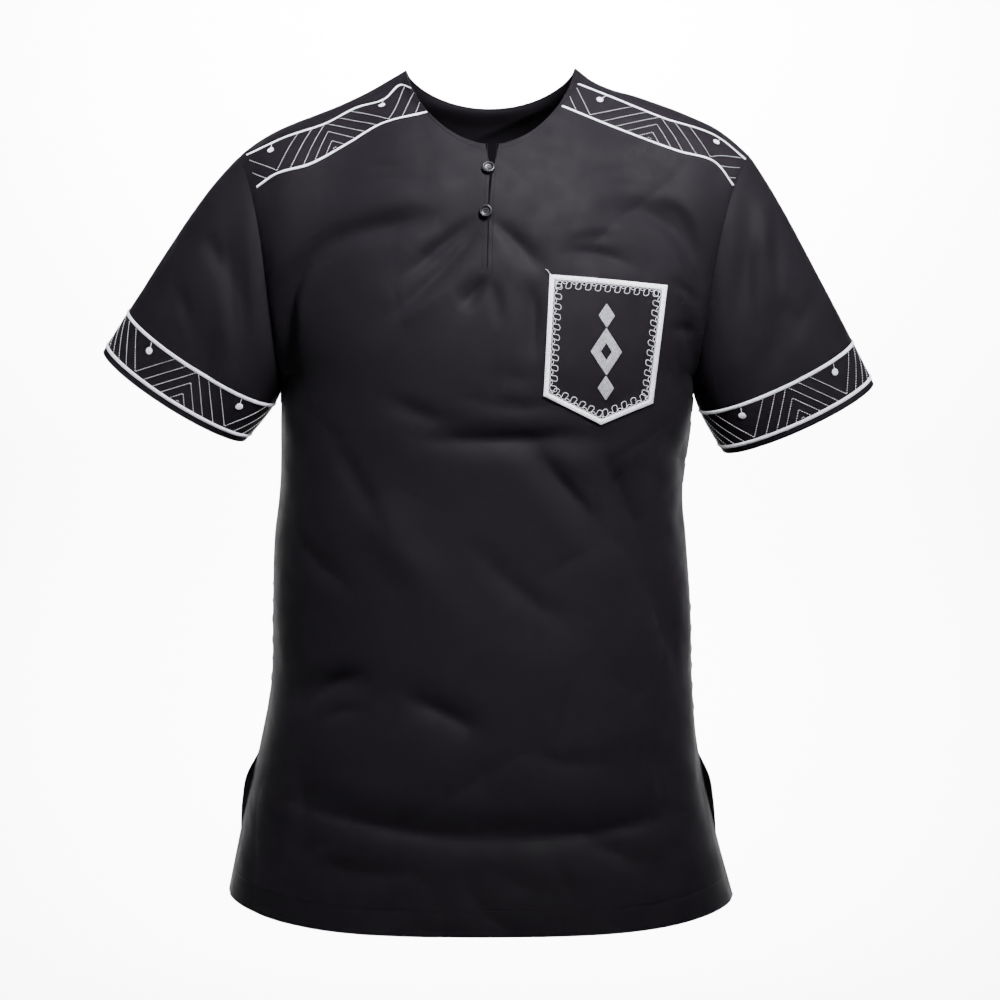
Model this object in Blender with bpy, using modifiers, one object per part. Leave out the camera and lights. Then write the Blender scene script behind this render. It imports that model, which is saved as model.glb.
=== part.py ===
"""A short-sleeved dashiki shirt in its worn, hollow form.

Metres, +Z up, front towards -Y. The origin lies midway between the two neck points, on the
shoulder line that the wearer carries. Each cut piece of cloth is a closed wall of its own.
"""
import math
from collections import namedtuple

import bmesh
import bpy
import numpy as np
from mathutils import Matrix, Vector
from mathutils.bvhtree import BVHTree

# Cloth and seams
WALL = 0.0012
SEAM_GAP = 0.0003
LONGEST_MITRE = 1.5
LAYER_GAP = 0.0006

# The two sides of the body and of the shirt
FRONT = -1
BACK = 1
LEFT = -1
RIGHT = 1

# Heights
UNDERARM_Z = -0.280
VENT_TOP_Z = -0.615
HEM_CENTRE_Z = -0.757
HEM_SIDE_Z = {LEFT: -0.735, RIGHT: -0.741}
HEM_TURN = 4.0

# Body sections from the underarm to the hem: centre, half width and depth to front and back
Section = namedtuple("Section", "z centre_x half_width front back")
SECTIONS = (
    Section(-0.280, -0.0020, 0.1855, 0.124, 0.113),
    Section(-0.315, -0.0035, 0.1845, 0.123, 0.108),
    Section(-0.351, -0.0060, 0.1820, 0.121, 0.101),
    Section(-0.378, -0.0080, 0.1810, 0.119, 0.096),
    Section(-0.415, -0.0088, 0.1845, 0.118, 0.093),
    Section(-0.482, -0.0075, 0.1878, 0.119, 0.094),
    Section(-0.554, -0.0076, 0.1896, 0.123, 0.104),
    Section(-0.600, -0.0100, 0.1955, 0.128, 0.113),
    Section(-0.671, -0.0110, 0.2100, 0.134, 0.122),
    Section(-0.757, -0.0080, 0.2300, 0.141, 0.127),
)
ROUNDNESS = 2.3

# Shoulder seams, from the neck point to the shoulder point
SeamPoint = namedtuple("SeamPoint", "x z")
SHOULDER_SEAM = {
    LEFT: (
        SeamPoint(-0.0755, 0.0000),
        SeamPoint(-0.1150, -0.0225),
        SeamPoint(-0.1440, -0.0355),
        SeamPoint(-0.1790, -0.0490),
        SeamPoint(-0.2050, -0.0620),
        SeamPoint(-0.2250, -0.0775),
    ),
    RIGHT: (
        SeamPoint(0.0765, 0.0020),
        SeamPoint(0.0930, -0.0105),
        SeamPoint(0.1370, -0.0255),
        SeamPoint(0.1760, -0.0400),
        SeamPoint(0.2080, -0.0555),
        SeamPoint(0.2330, -0.0770),
    ),
}

# Neckline: depth and drop on each side of the body, and how steeply it drops from the neck points
Neckline = namedtuple("Neckline", "depth drop steepness")
NECKLINE = {FRONT: Neckline(0.075, 0.078, 1.4), BACK: Neckline(0.052, 0.028, 1.4)}

# Armholes: depth to front and back, and the share of the sideways run made before the shoulder
ARMHOLE_DEPTH = {FRONT: 0.047, BACK: 0.052}
ARMHOLE_RUN = 0.62
ARMHOLE_TURN = 5.0
ARMHOLE_FADE = (0.50, 1.0)

# Shoulder-to-chest profile, as shares of its depth and drop at the two middle control points
PROFILE_DEPTH = (0.60, 1.05)
PROFILE_DROP = (0.18, 0.55)

# The panel's grid: share of the half width under the neckline, its angle on the body, and counts
NECK_SHARE = 0.44
NECK_ANGLE = math.radians(34)
SHOULDER_COLUMNS = 9
NECK_COLUMNS = {FRONT: 14, BACK: 10}
SKIRT_ROWS = 6
TRUNK_ROWS = 15
ROWS_BELOW_SLIT = 5
ROWS_BESIDE_SLIT = 10
SLIT_END_SHARE = 0.34
SMOOTHING_ROUNDS = 5

# The slit down the front: height, its middle and half its opening
SlitPoint = namedtuple("SlitPoint", "z middle_x half_gap")
SLIT = (
    SlitPoint(-0.1936, -0.0021, 0.0003),
    SlitPoint(-0.1300, -0.0004, 0.0005),
    SlitPoint(-0.1080, 0.0012, 0.0007),
    SlitPoint(-0.0952, 0.0024, 0.0023),
    SlitPoint(-0.0780, 0.0022, 0.0058),
)

# Side vents: how far each free edge parts at the hem, and how far the back's edge stands out
VENT_SPREAD = {FRONT: 0.007, BACK: 0.010}
VentEdge = namedtuple("VentEdge", "below back_out")
VENT_EDGE = (
    VentEdge(0.00, 0.000),
    VentEdge(0.17, 0.006),
    VentEdge(0.40, 0.004),
    VentEdge(1.00, -0.012),
)

# Sleeve ends: outer and inner corner, the swell over the arm and the dip of the front edge; half
# depth, and the dip of the back edge
Cuff = namedtuple("Cuff", "outer_x outer_z inner_x inner_z swell dip")
CUFF = {
    LEFT: Cuff(-0.3465, -0.2520, -0.2205, -0.3330, 0.0045, 0.012),
    RIGHT: Cuff(0.3440, -0.2810, 0.2100, -0.3430, 0.0030, 0.012),
}
CUFF_DEPTH = 0.034
CUFF_BACK_DIP = -0.003
SLEEVE_ROWS = 8
SLEEVE_SWELL_UNDER = 0.005
SLEEVE_SWELL_PLACE = 0.65

# Folds: three points of a curve across the cloth seen from the front, its width, and its height,
# which is below zero for a trough
Fold = namedtuple("Fold", "x0 z0 x1 z1 x2 z2 width height")
FRONT_FOLDS = (
    # Around the armholes
    Fold(-0.172, -0.290, -0.200, -0.190, -0.137, -0.161, 0.013, -0.0050),
    Fold(-0.137, -0.161, -0.094, -0.149, -0.042, -0.142, 0.011, -0.0035),
    Fold(0.109, -0.136, 0.182, -0.122, 0.186, -0.211, 0.012, -0.0045),
    Fold(-0.126, -0.139, -0.070, -0.122, -0.012, -0.116, 0.016, 0.0030),
    # From the buttons and the end of the slit
    Fold(-0.012, -0.143, -0.048, -0.176, -0.080, -0.202, 0.010, -0.0035),
    Fold(-0.007, -0.155, -0.039, -0.192, -0.095, -0.240, 0.011, -0.0030),
    Fold(0.008, -0.150, 0.031, -0.173, 0.050, -0.196, 0.010, -0.0030),
    Fold(-0.002, -0.196, -0.014, -0.208, -0.026, -0.222, 0.010, -0.0030),
    Fold(0.030, -0.198, 0.037, -0.230, 0.036, -0.268, 0.010, -0.0025),
    # Around the pocket
    Fold(0.060, -0.172, 0.096, -0.172, 0.132, -0.184, 0.011, -0.0025),
    Fold(0.150, -0.335, 0.168, -0.345, 0.182, -0.362, 0.013, -0.0030),
    # Across the waist and down to the hem
    Fold(-0.060, -0.332, 0.022, -0.340, 0.104, -0.334, 0.013, -0.0035),
    Fold(0.029, -0.336, 0.050, -0.361, 0.099, -0.421, 0.013, -0.0035),
    Fold(0.095, -0.323, 0.128, -0.420, 0.172, -0.546, 0.015, -0.0045),
    Fold(-0.108, -0.387, -0.072, -0.430, -0.049, -0.469, 0.018, 0.0030),
    Fold(-0.160, -0.558, -0.137, -0.536, -0.100, -0.545, 0.013, -0.0035),
    Fold(-0.072, -0.554, -0.040, -0.566, -0.010, -0.584, 0.013, -0.0030),
    Fold(-0.180, -0.640, 0.000, -0.697, 0.179, -0.654, 0.015, -0.0040),
    Fold(0.082, -0.678, 0.105, -0.686, 0.135, -0.700, 0.013, -0.0025),
)
BACK_FOLDS = (
    Fold(-0.178, -0.270, -0.165, -0.190, -0.110, -0.150, 0.014, -0.0045),
    Fold(0.176, -0.255, 0.170, -0.180, 0.118, -0.138, 0.014, -0.0040),
    Fold(-0.120, -0.095, -0.020, -0.118, 0.110, -0.090, 0.018, 0.0030),
    Fold(-0.140, -0.345, -0.060, -0.372, 0.030, -0.366, 0.015, -0.0040),
    Fold(-0.030, -0.405, 0.060, -0.420, 0.140, -0.395, 0.015, -0.0045),
    Fold(-0.125, -0.450, -0.050, -0.462, 0.020, -0.452, 0.016, -0.0035),
    Fold(-0.165, -0.560, -0.120, -0.610, -0.100, -0.690, 0.017, -0.0040),
    Fold(0.150, -0.520, 0.120, -0.600, 0.125, -0.680, 0.017, -0.0040),
    Fold(-0.170, -0.665, 0.010, -0.700, 0.175, -0.662, 0.016, -0.0035),
)
SLEEVE_FOLDS = {
    (LEFT, FRONT): (
        Fold(-0.226, -0.105, -0.221, -0.180, -0.217, -0.262, 0.011, -0.0035),
        Fold(-0.248, -0.150, -0.240, -0.166, -0.236, -0.190, 0.010, -0.0025),
        Fold(-0.262, -0.300, -0.250, -0.270, -0.246, -0.235, 0.012, -0.0025),
    ),
    (LEFT, BACK): (
        Fold(-0.228, -0.120, -0.222, -0.190, -0.218, -0.255, 0.011, -0.0035),
        Fold(-0.300, -0.215, -0.270, -0.235, -0.240, -0.280, 0.012, -0.0030),
    ),
    (RIGHT, FRONT): (
        Fold(0.226, -0.110, 0.221, -0.175, 0.219, -0.250, 0.011, -0.0035),
        Fold(0.246, -0.112, 0.240, -0.150, 0.243, -0.190, 0.011, 0.0025),
        Fold(0.262, -0.205, 0.258, -0.240, 0.240, -0.285, 0.012, -0.0025),
    ),
    (RIGHT, BACK): (
        Fold(0.230, -0.125, 0.223, -0.190, 0.219, -0.255, 0.011, -0.0035),
        Fold(0.300, -0.235, 0.270, -0.245, 0.242, -0.290, 0.012, -0.0030),
    ),
}
FOLD_SAMPLES = 24
FOLD_EDGE_FADE = 0.12

# Patch pocket: corners seen from the front, its raised edge and its grid
POCKET_CORNERS = {
    "top_left": (0.0514, -0.1941),
    "top_right": (0.1543, -0.2005),
    "bottom_right": (0.1415, -0.3033),
    "tip": (0.0957, -0.3225),
    "bottom_left": (0.0460, -0.2984),
}
POCKET_EDGE_WIDTH = 0.0040
POCKET_EDGE_STEP = 0.0008
POCKET_EDGE_RISE = 0.0006
POCKET_INNER_COLUMNS = 8
POCKET_INNER_ROWS = 8

# Buttons: place seen from the front, and turned profile of radius and height
BUTTONS = {"button_upper": (-0.0010, -0.1003), "button_lower": (-0.0031, -0.1392)}
BUTTON_RADIUS = 0.00575
BUTTON_PROFILE = (
    (0.00, 0.52),
    (0.55, 0.58),
    (0.68, 0.88),
    (0.80, 1.00),
    (0.93, 0.86),
    (1.00, 0.55),
    (0.94, 0.20),
    (0.70, 0.00),
    (0.00, 0.00),
)
BUTTON_HEIGHT = 0.0026
BUTTON_SIDES = 24
BUTTON_HOLE_RADIUS = 0.00055
BUTTON_HOLE_SPACING = 0.0011
BUTTON_HOLE_SIDES = 8
BUTTON_LIFT = 0.0009

# Colours
BLACK_COTTON = (0.012, 0.011, 0.014, 1.0)
WHITE_THREAD_EDGE = (0.60, 0.60, 0.66, 1.0)
BLACK_BUTTON = (0.006, 0.006, 0.007, 1.0)


def smooth_through(knots, values, place):
    """Value at a place on a smooth curve through the given values, which may be vectors."""
    knots = np.asarray(knots, dtype=float)
    values = np.asarray(values, dtype=float)
    slopes = np.gradient(values, knots, axis=0)
    first = int(np.clip(np.searchsorted(knots, place) - 1, 0, len(knots) - 2))
    span = knots[first + 1] - knots[first]
    t = (place - knots[first]) / span
    start = values[first] * (1 + 2 * t) * (1 - t) ** 2 + slopes[first] * span * t * (1 - t) ** 2
    end = values[first + 1] * (3 - 2 * t) * t**2 - slopes[first + 1] * span * (1 - t) * t**2
    return start + end


def fade(value, low, high):
    """Soft step from 0 at low to 1 at high."""
    t = min(max((value - low) / (high - low), 0.0), 1.0)
    return t * t * (3 - 2 * t)


def rounded(value):
    """Sine or cosine bent so that the body's section is slightly fuller than an ellipse."""
    return math.copysign(abs(value) ** (2 / ROUNDNESS), value)


def body_point(side, angle, z):
    """Point of the body's section at a height, with angle 0 at the middle of front or back."""
    heights = [row.z for row in reversed(SECTIONS)]
    sizes = [(row.centre_x, row.half_width, row.front, row.back) for row in reversed(SECTIONS)]
    centre_x, half_width, front, back = smooth_through(heights, sizes, z)
    depth = front if side == FRONT else back
    x = centre_x + half_width * rounded(math.sin(angle))
    return np.array((x, side * depth * rounded(math.cos(angle)), z))


def shoulder_point(hand, share):
    """Point of a shoulder seam, with share 0 at the neck point and 1 at the shoulder point."""
    points = np.array(SHOULDER_SEAM[hand])
    run = np.concatenate(([0.0], np.cumsum(np.linalg.norm(np.diff(points, axis=0), axis=1))))
    x, z = smooth_through(run / run[-1], points, share)
    return np.array((x, 0.0, z))


def neck_point(side, share):
    """Point of the neckline, with share -1 at the left neck point and 1 at the right one."""
    neck = NECKLINE[side]
    left = SHOULDER_SEAM[LEFT][0]
    right = SHOULDER_SEAM[RIGHT][0]
    turn = math.pi / 2 * share
    x = (left.x + right.x) / 2 + (right.x - left.x) / 2 * math.sin(turn)
    level = left.z + (right.z - left.z) * (1 + share) / 2
    drop = neck.drop * math.cos(turn) ** neck.steepness
    return np.array((x, side * neck.depth * math.cos(turn), level - drop))


def armhole_point(hand, side, height):
    """Point of an armhole, with height 0 at the underarm and 1 at the shoulder point."""
    low = body_point(side, hand * math.pi / 2, UNDERARM_Z)
    high = shoulder_point(hand, 1.0)
    climb = (1 - math.cos(math.pi * height)) / 2
    run = ARMHOLE_RUN * climb + (1 - ARMHOLE_RUN) * climb**ARMHOLE_TURN
    x = low[0] + (high[0] - low[0]) * run
    z = low[2] + (high[2] - low[2]) * climb
    return np.array((x, side * ARMHOLE_DEPTH[side] * math.sin(math.pi * height), z))


def column_ends(side, across):
    """Angle on the body and top point of a panel's column, with across -1 left and 1 right."""
    hand = LEFT if across < 0 else RIGHT
    if abs(across) < NECK_SHARE:
        share = across / NECK_SHARE
        return NECK_ANGLE * share, neck_point(side, share)
    share = (abs(across) - NECK_SHARE) / (1 - NECK_SHARE)
    return hand * (NECK_ANGLE + (math.pi / 2 - NECK_ANGLE) * share), shoulder_point(hand, share)


def profile_point(low, high, height):
    """Point on the shoulder-to-chest curve from the underarm level up to the top edge."""
    down = 1 - height
    weights = (3 * down * (1 - down) ** 2, 3 * down**2 * (1 - down))
    depth = weights[0] * PROFILE_DEPTH[0] + weights[1] * PROFILE_DEPTH[1] + down**3
    drop = weights[0] * PROFILE_DROP[0] + weights[1] * PROFILE_DROP[1] + down**3
    share = np.array((depth, depth, drop))
    return high + (low - high) * share


def slit_at(z):
    """Middle and half opening of the slit at a height."""
    heights = [row.z for row in SLIT]
    middle = np.interp(z, heights, [row.middle_x for row in SLIT])
    half_gap = np.interp(z, heights, [row.half_gap for row in SLIT])
    return middle, half_gap


def upper_point(side, across, height):
    """Point of a panel between the underarm level and its top edge."""
    angle, top = column_ends(side, across)
    point = profile_point(body_point(side, angle, UNDERARM_Z), top, height)
    hand = LEFT if across < 0 else RIGHT
    edge = profile_point(body_point(side, hand * math.pi / 2, UNDERARM_Z), shoulder_point(hand, 1.0), height)
    return point + (armhole_point(hand, side, height) - edge) * fade(abs(across), *ARMHOLE_FADE)


def lower_point(side, across, below):
    """Point of a panel under the underarm level, with below 1 at the vent's top and 2 at the hem."""
    angle, _ = column_ends(side, across)
    if below <= 1:
        return body_point(side, angle, UNDERARM_Z + (VENT_TOP_Z - UNDERARM_Z) * below)
    side_z = HEM_SIDE_Z[LEFT if across < 0 else RIGHT]
    hem = HEM_CENTRE_Z + (side_z - HEM_CENTRE_Z) * abs(math.sin(angle)) ** HEM_TURN
    point = body_point(side, angle, VENT_TOP_Z + (hem - VENT_TOP_Z) * (below - 1))
    nearness = fade(abs(across), 0.75, 1.0)
    point[1] += side * VENT_SPREAD[side] * (below - 1) * nearness
    if side == BACK:
        out = smooth_through([row.below for row in VENT_EDGE], [row.back_out for row in VENT_EDGE], below - 1)
        point[0] += math.copysign(1.0, across) * out * nearness
    return point


def sleeve_point(hand, side, height, along):
    """Point of a sleeve, with along 0 at the armhole and 1 at the sleeve's end."""
    start = armhole_point(hand, side, height)
    cuff = CUFF[hand]
    outer = np.array((cuff.outer_x, 0.0, cuff.outer_z))
    inner = np.array((cuff.inner_x, 0.0, cuff.inner_z))
    round_share = math.sin(math.pi * height)
    climb = (1 - math.cos(math.pi * height)) / 2
    across = (outer - inner) / np.linalg.norm(outer - inner)
    down_arm = np.array((across[2], 0.0, -across[0])) * hand
    down_arm *= -math.copysign(1.0, down_arm[2])
    dip = cuff.dip if side == FRONT else CUFF_BACK_DIP
    end = inner + (outer - inner) * climb + down_arm * dip * round_share
    end[1] = side * CUFF_DEPTH * round_share
    point = start + (end - start) * along
    swell = SLEEVE_SWELL_UNDER + (cuff.swell - SLEEVE_SWELL_UNDER) * climb
    outward = across * -math.cos(math.pi * height) + np.array((0.0, side, 0.0)) * round_share
    return point + outward * swell * math.sin(math.pi * along**SLEEVE_SWELL_PLACE)


def fold_height(folds, x, z):
    """Height of the folds over the plain cloth at a place seen from the front."""
    t = np.linspace(0, 1, FOLD_SAMPLES)
    total = 0.0
    for fold in folds:
        path_x = fold.x0 * (1 - t) ** 2 + 2 * fold.x1 * t * (1 - t) + fold.x2 * t**2
        path_z = fold.z0 * (1 - t) ** 2 + 2 * fold.z1 * t * (1 - t) + fold.z2 * t**2
        away = np.hypot(path_x - x, path_z - z)
        nearest = int(np.argmin(away))
        taper = math.sin(math.pi * (0.08 + 0.84 * t[nearest]))
        total += fold.height * taper * math.exp(-((away[nearest] / fold.width) ** 2))
    return total


def grid_normals(points, outward):
    """Unit normals of a grid of points, turned to the side that outward names."""
    across = np.gradient(points, axis=0)
    up = np.gradient(points, axis=1)
    normals = np.cross(across, up)
    normals /= np.linalg.norm(normals, axis=2, keepdims=True)
    turned = np.sign(np.sum(normals * outward, axis=2, keepdims=True))
    return normals * turned


def panel_columns(side):
    """Places of a panel's columns, from -1 at the left side seam to 1 at the right one."""
    shoulder = np.linspace(NECK_SHARE, 1, SHOULDER_COLUMNS + 1)
    neck = np.linspace(-NECK_SHARE, NECK_SHARE, NECK_COLUMNS[side] + 1)
    return np.concatenate((-shoulder[:0:-1], neck, shoulder[1:]))


def panel_rows():
    """Places of a panel's rows: from -2 at the hem, 0 at the underarm, to 1 at the top edge."""
    skirt = -np.linspace(2, 1, SKIRT_ROWS + 1)
    trunk = -np.linspace(1, 0, TRUNK_ROWS + 1)
    low = np.linspace(0, SLIT_END_SHARE, ROWS_BELOW_SLIT + 1)
    high = np.linspace(SLIT_END_SHARE, 1, ROWS_BESIDE_SLIT + 1)
    return np.concatenate((skirt, trunk[1:], low[1:], high[1:]))


ROWS = panel_rows()
UNDERARM_ROW = SKIRT_ROWS + TRUNK_ROWS
SLIT_ROW = UNDERARM_ROW + ROWS_BELOW_SLIT


def panel_grid(side, folds):
    """Outer points of a panel, column by column from the hem up, with its folds."""
    columns = panel_columns(side)
    points = np.array([
        [upper_point(side, across, row) if row > 0 else lower_point(side, across, -row) for row in ROWS]
        for across in columns
    ])
    for _ in range(SMOOTHING_ROUNDS):
        points[1:-1, :-1] = (points[:-2, :-1] + 2 * points[1:-1, :-1] + points[2:, :-1]) / 4
    if side == FRONT:
        centre_slit(points, columns)
    normals = grid_normals(points, np.array((0.0, side, 0.2)))
    for i, across in enumerate(columns):
        for j, row in enumerate(ROWS):
            edge = fade(1 - abs(across), 0.0, FOLD_EDGE_FADE) * fade(1 - row, 0.0, FOLD_EDGE_FADE)
            points[i, j] += normals[i, j] * fold_height(folds, points[i, j, 0], points[i, j, 2]) * edge
    return points


def centre_slit(points, columns):
    """Moves the middle column of the front onto the slit's line, and its neighbours part of the way."""
    middle = len(columns) // 2
    for j in range(UNDERARM_ROW, len(ROWS)):
        shift = (slit_at(points[middle, j, 2])[0] - points[middle, j, 0]) * ROWS[j] ** 0.5
        for i, across in enumerate(columns):
            points[i, j, 0] += shift * (1 - fade(abs(across), 0.0, NECK_SHARE))


def sleeve_grid(hand):
    """Outer points of a sleeve, round the arm from the underarm and along it to its end."""
    heights = ROWS[UNDERARM_ROW:]
    around = [(FRONT, height) for height in heights] + [(BACK, height) for height in heights[-2:0:-1]]
    steps = np.linspace(0, 1, SLEEVE_ROWS + 1)
    points = np.array([[sleeve_point(hand, side, height, step) for step in steps] for side, height in around])
    middle = points.mean(axis=0)
    normals = closed_normals(points, points - middle)
    for i, (side, height) in enumerate(around):
        for j, step in enumerate(steps):
            edge = fade(step, 0.0, 2 * FOLD_EDGE_FADE) * math.sin(math.pi * height) ** 0.5
            rise = fold_height(SLEEVE_FOLDS[hand, side], points[i, j, 0], points[i, j, 2])
            points[i, j] += normals[i, j] * rise * edge
    return points


def closed_normals(points, outward):
    """Unit normals of a tube's grid, whose first index goes all the way round."""
    wrapped = np.concatenate((points[-1:], points, points[:1]))
    outward = np.concatenate((outward[-1:], outward, outward[:1]))
    return grid_normals(wrapped, outward)[1:-1]


def unit(vector):
    """The vector at length 1."""
    return vector / np.linalg.norm(vector)


class Seam:
    """A seam point shared by pieces: the way into the wall, its length, and the seam's run."""

    def __init__(self, normals, run):
        self.outward = unit(sum(normals))
        lean = min(float(np.dot(self.outward, normal)) for normal in normals)
        self.depth = WALL * min(1 / max(lean, 1 / LONGEST_MITRE), LONGEST_MITRE)
        self.run = unit(run)

    def shift(self, towards):
        """Half the seam gap, square to the seam, towards the piece's own cloth."""
        square = unit(np.cross(self.run, self.outward))
        return square * math.copysign(SEAM_GAP / 2, float(np.dot(square, towards)))


def shell_mesh(name, outer, inner, closed_round, split_column=None, split_row=None, half_gaps=None):
    """Closed wall between an outer and an inner grid, with a rim on every free edge.

    A split column is doubled above its split row and the two copies are parted sideways.
    """
    columns, rows = outer.shape[:2]
    mesh = bmesh.new()
    table = {}
    for layer, grid in enumerate((outer, inner)):
        for i in range(columns):
            for j in range(rows):
                if i == split_column and j > split_row:
                    for hand in (LEFT, RIGHT):
                        moved = grid[i, j] + np.array((hand * half_gaps[j], 0.0, 0.0))
                        table[layer, i, j, hand] = mesh.verts.new(moved)
                else:
                    vertex = mesh.verts.new(grid[i, j])
                    table[layer, i, j, LEFT] = vertex
                    table[layer, i, j, RIGHT] = vertex
    cells = columns if closed_round else columns - 1
    for i in range(cells):
        near = (i, RIGHT)
        far = ((i + 1) % columns, LEFT)
        for j in range(rows - 1):
            for layer in (0, 1):
                corners = ((*near, j), (*far, j), (*far, j + 1), (*near, j + 1))
                face = [table[layer, column, row, hand] for column, hand, row in corners]
                mesh.faces.new(face if layer == 0 else face[::-1])
        for j, turned in ((0, False), (rows - 1, True)):
            rim = [table[0, near[0], j, RIGHT], table[1, near[0], j, RIGHT]]
            rim += [table[1, far[0], j, LEFT], table[0, far[0], j, LEFT]]
            mesh.faces.new(rim[::-1] if turned else rim)
    edges = [] if closed_round else [(0, RIGHT, 0, True), (columns - 1, LEFT, 0, False)]
    if split_column is not None:
        edges += [(split_column, LEFT, split_row, False), (split_column, RIGHT, split_row, True)]
    for i, hand, first_row, turned in edges:
        for j in range(first_row, rows - 1):
            rim = [table[0, i, j, hand], table[1, i, j, hand]]
            rim += [table[1, i, j + 1, hand], table[0, i, j + 1, hand]]
            mesh.faces.new(rim if turned else rim[::-1])
    bmesh.ops.recalc_face_normals(mesh, faces=mesh.faces)
    bmesh.ops.triangulate(mesh, faces=mesh.faces)
    data = bpy.data.meshes.new(name)
    mesh.to_mesh(data)
    mesh.free()
    data.shade_smooth()
    data.set_sharp_from_angle(angle=math.radians(50))
    return data


def wall_layers(outer, normals, seams):
    """Outer and inner grid of a wall, mitred and parted along its seams."""
    outer = outer.copy()
    inner = outer - normals * WALL
    base = outer.copy()
    for (i, j), parts in seams.items():
        seam, towards = parts[0]
        inner[i, j] = base[i, j] - seam.outward * seam.depth
        for other, way in parts:
            outer[i, j] += other.shift(way)
            inner[i, j] += other.shift(way)
    return outer, inner


def armhole_seam(hand, panels, sleeve_normals):
    """Seams round an armhole, keyed by side and row, from the panels' and the sleeve's normals."""
    seams = {}
    last = len(ROWS) - 1
    count = len(sleeve_normals)
    for side in (FRONT, BACK):
        grid, normals = panels[side]
        column = 0 if hand == LEFT else len(grid) - 1
        other_normals = panels[-side][1]
        other_column = 0 if hand == LEFT else len(panels[-side][0]) - 1
        for j in range(UNDERARM_ROW, last + 1):
            place = j - UNDERARM_ROW if side == FRONT else (count - (j - UNDERARM_ROW)) % count
            own = normals[column, j]
            if j in (UNDERARM_ROW, last):
                own = unit(own + other_normals[other_column, j])
            run = grid[column, min(j + 1, last)] - grid[column, max(j - 1, UNDERARM_ROW)]
            if j in (UNDERARM_ROW, last):
                run = np.array((0.0, 1.0, 0.0))
            seams[side, j] = Seam((own, sleeve_normals[place, 0]), run)
    return seams


def panel_seams(side, panels, armholes):
    """The seams of one panel, keyed by column and row."""
    grid, normals = panels[side]
    other_grid, other_normals = panels[-side]
    last_column = len(grid) - 1
    last_row = len(ROWS) - 1
    seams = {}
    inward_y = np.array((0.0, float(side), 0.0))
    for hand, i in ((LEFT, 0), (RIGHT, last_column)):
        other = 0 if hand == LEFT else len(other_grid) - 1
        inward_x = np.array((-float(hand), 0.0, 0.0))
        for j in range(SKIRT_ROWS, UNDERARM_ROW):
            run = grid[i, j + 1] - grid[i, j]
            seams[i, j] = [(Seam((normals[i, j], other_normals[other, j]), run), inward_y)]
        for j in range(UNDERARM_ROW, last_row + 1):
            seams[i, j] = [(armholes[hand][side, j], inward_x)]
        side_run = np.array((0.0, 0.0, 1.0))
        side_seam = Seam((normals[i, SKIRT_ROWS + 1], other_normals[other, SKIRT_ROWS + 1]), side_run)
        seams[i, UNDERARM_ROW].append((side_seam, inward_y))
        for step in range(SHOULDER_COLUMNS + 1):
            column = step if hand == LEFT else last_column - step
            other_column = step if hand == LEFT else len(other_grid) - 1 - step
            if step == 0:
                seams[column, last_row].append((shoulder_seam_at(panels, side, column, other_column), inward_y))
            else:
                seam = shoulder_seam_at(panels, side, column, other_column)
                seams[column, last_row] = [(seam, inward_y)]
    return seams


def shoulder_seam_at(panels, side, column, other_column):
    """Seam between front and back at one column of a shoulder."""
    grid, normals = panels[side]
    other_normals = panels[-side][1]
    before = grid[max(column - 1, 0), -1]
    after = grid[min(column + 1, len(grid) - 1), -1]
    run = (after - before) * np.array((1.0, 0.0, 1.0))
    return Seam((normals[column, -1], other_normals[other_column, -1]), run)


def sleeve_seams(hand, points, armholes):
    """The seams of one sleeve round its armhole."""
    count = len(points)
    outward_x = np.array((float(hand), 0.0, 0.0))
    seams = {}
    for (side, j), seam in armholes[hand].items():
        place = j - UNDERARM_ROW if side == FRONT else (count - (j - UNDERARM_ROW)) % count
        seams[place, 0] = [(seam, outward_x)]
    return seams


def cloth_material(name, colour, roughness, metallic=0.0):
    """A plain Principled material."""
    material = bpy.data.materials.new(name)
    material.use_nodes = True
    shader = material.node_tree.nodes["Principled BSDF"]
    shader.inputs["Base Color"].default_value = colour
    shader.inputs["Roughness"].default_value = roughness
    shader.inputs["Metallic"].default_value = metallic
    material.diffuse_color = colour
    return material


def add_object(collection, name, data, material):
    """New object with its mesh and material, in a collection."""
    piece = bpy.data.objects.new(name, data)
    data.materials.append(material)
    collection.objects.link(piece)
    return piece


def make_panels(collection):
    """Front and back, with their side and shoulder seams, and both sleeves. Returns front points."""
    panels = {}
    for side, folds in ((FRONT, FRONT_FOLDS), (BACK, BACK_FOLDS)):
        grid = panel_grid(side, folds)
        panels[side] = (grid, grid_normals(grid, np.array((0.0, side, 0.2))))
    sleeves = {}
    armholes = {}
    for hand in (LEFT, RIGHT):
        points = sleeve_grid(hand)
        normals = closed_normals(points, points - points.mean(axis=0))
        sleeves[hand] = (points, normals)
        armholes[hand] = armhole_seam(hand, panels, normals)
    middle = len(panel_columns(FRONT)) // 2
    for side, name in ((FRONT, "front"), (BACK, "back")):
        grid, normals = panels[side]
        outer, inner = wall_layers(grid, normals, panel_seams(side, panels, armholes))
        if side == FRONT:
            gaps = [slit_at(point[2])[1] for point in grid[middle]]
            data = shell_mesh(name, outer, inner, False, middle, SLIT_ROW, gaps)
        else:
            data = shell_mesh(name, outer, inner, False)
        add_object(collection, name, data, cloth_material(f"{name}_cotton", BLACK_COTTON, 0.62))
    for hand, name in ((LEFT, "sleeve_left"), (RIGHT, "sleeve_right")):
        points, normals = sleeves[hand]
        outer, inner = wall_layers(points, normals, sleeve_seams(hand, points, armholes))
        data = shell_mesh(name, outer, inner, True)
        add_object(collection, name, data, cloth_material(f"{name}_cotton", BLACK_COTTON, 0.62))
    return panels[FRONT][0]


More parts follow.
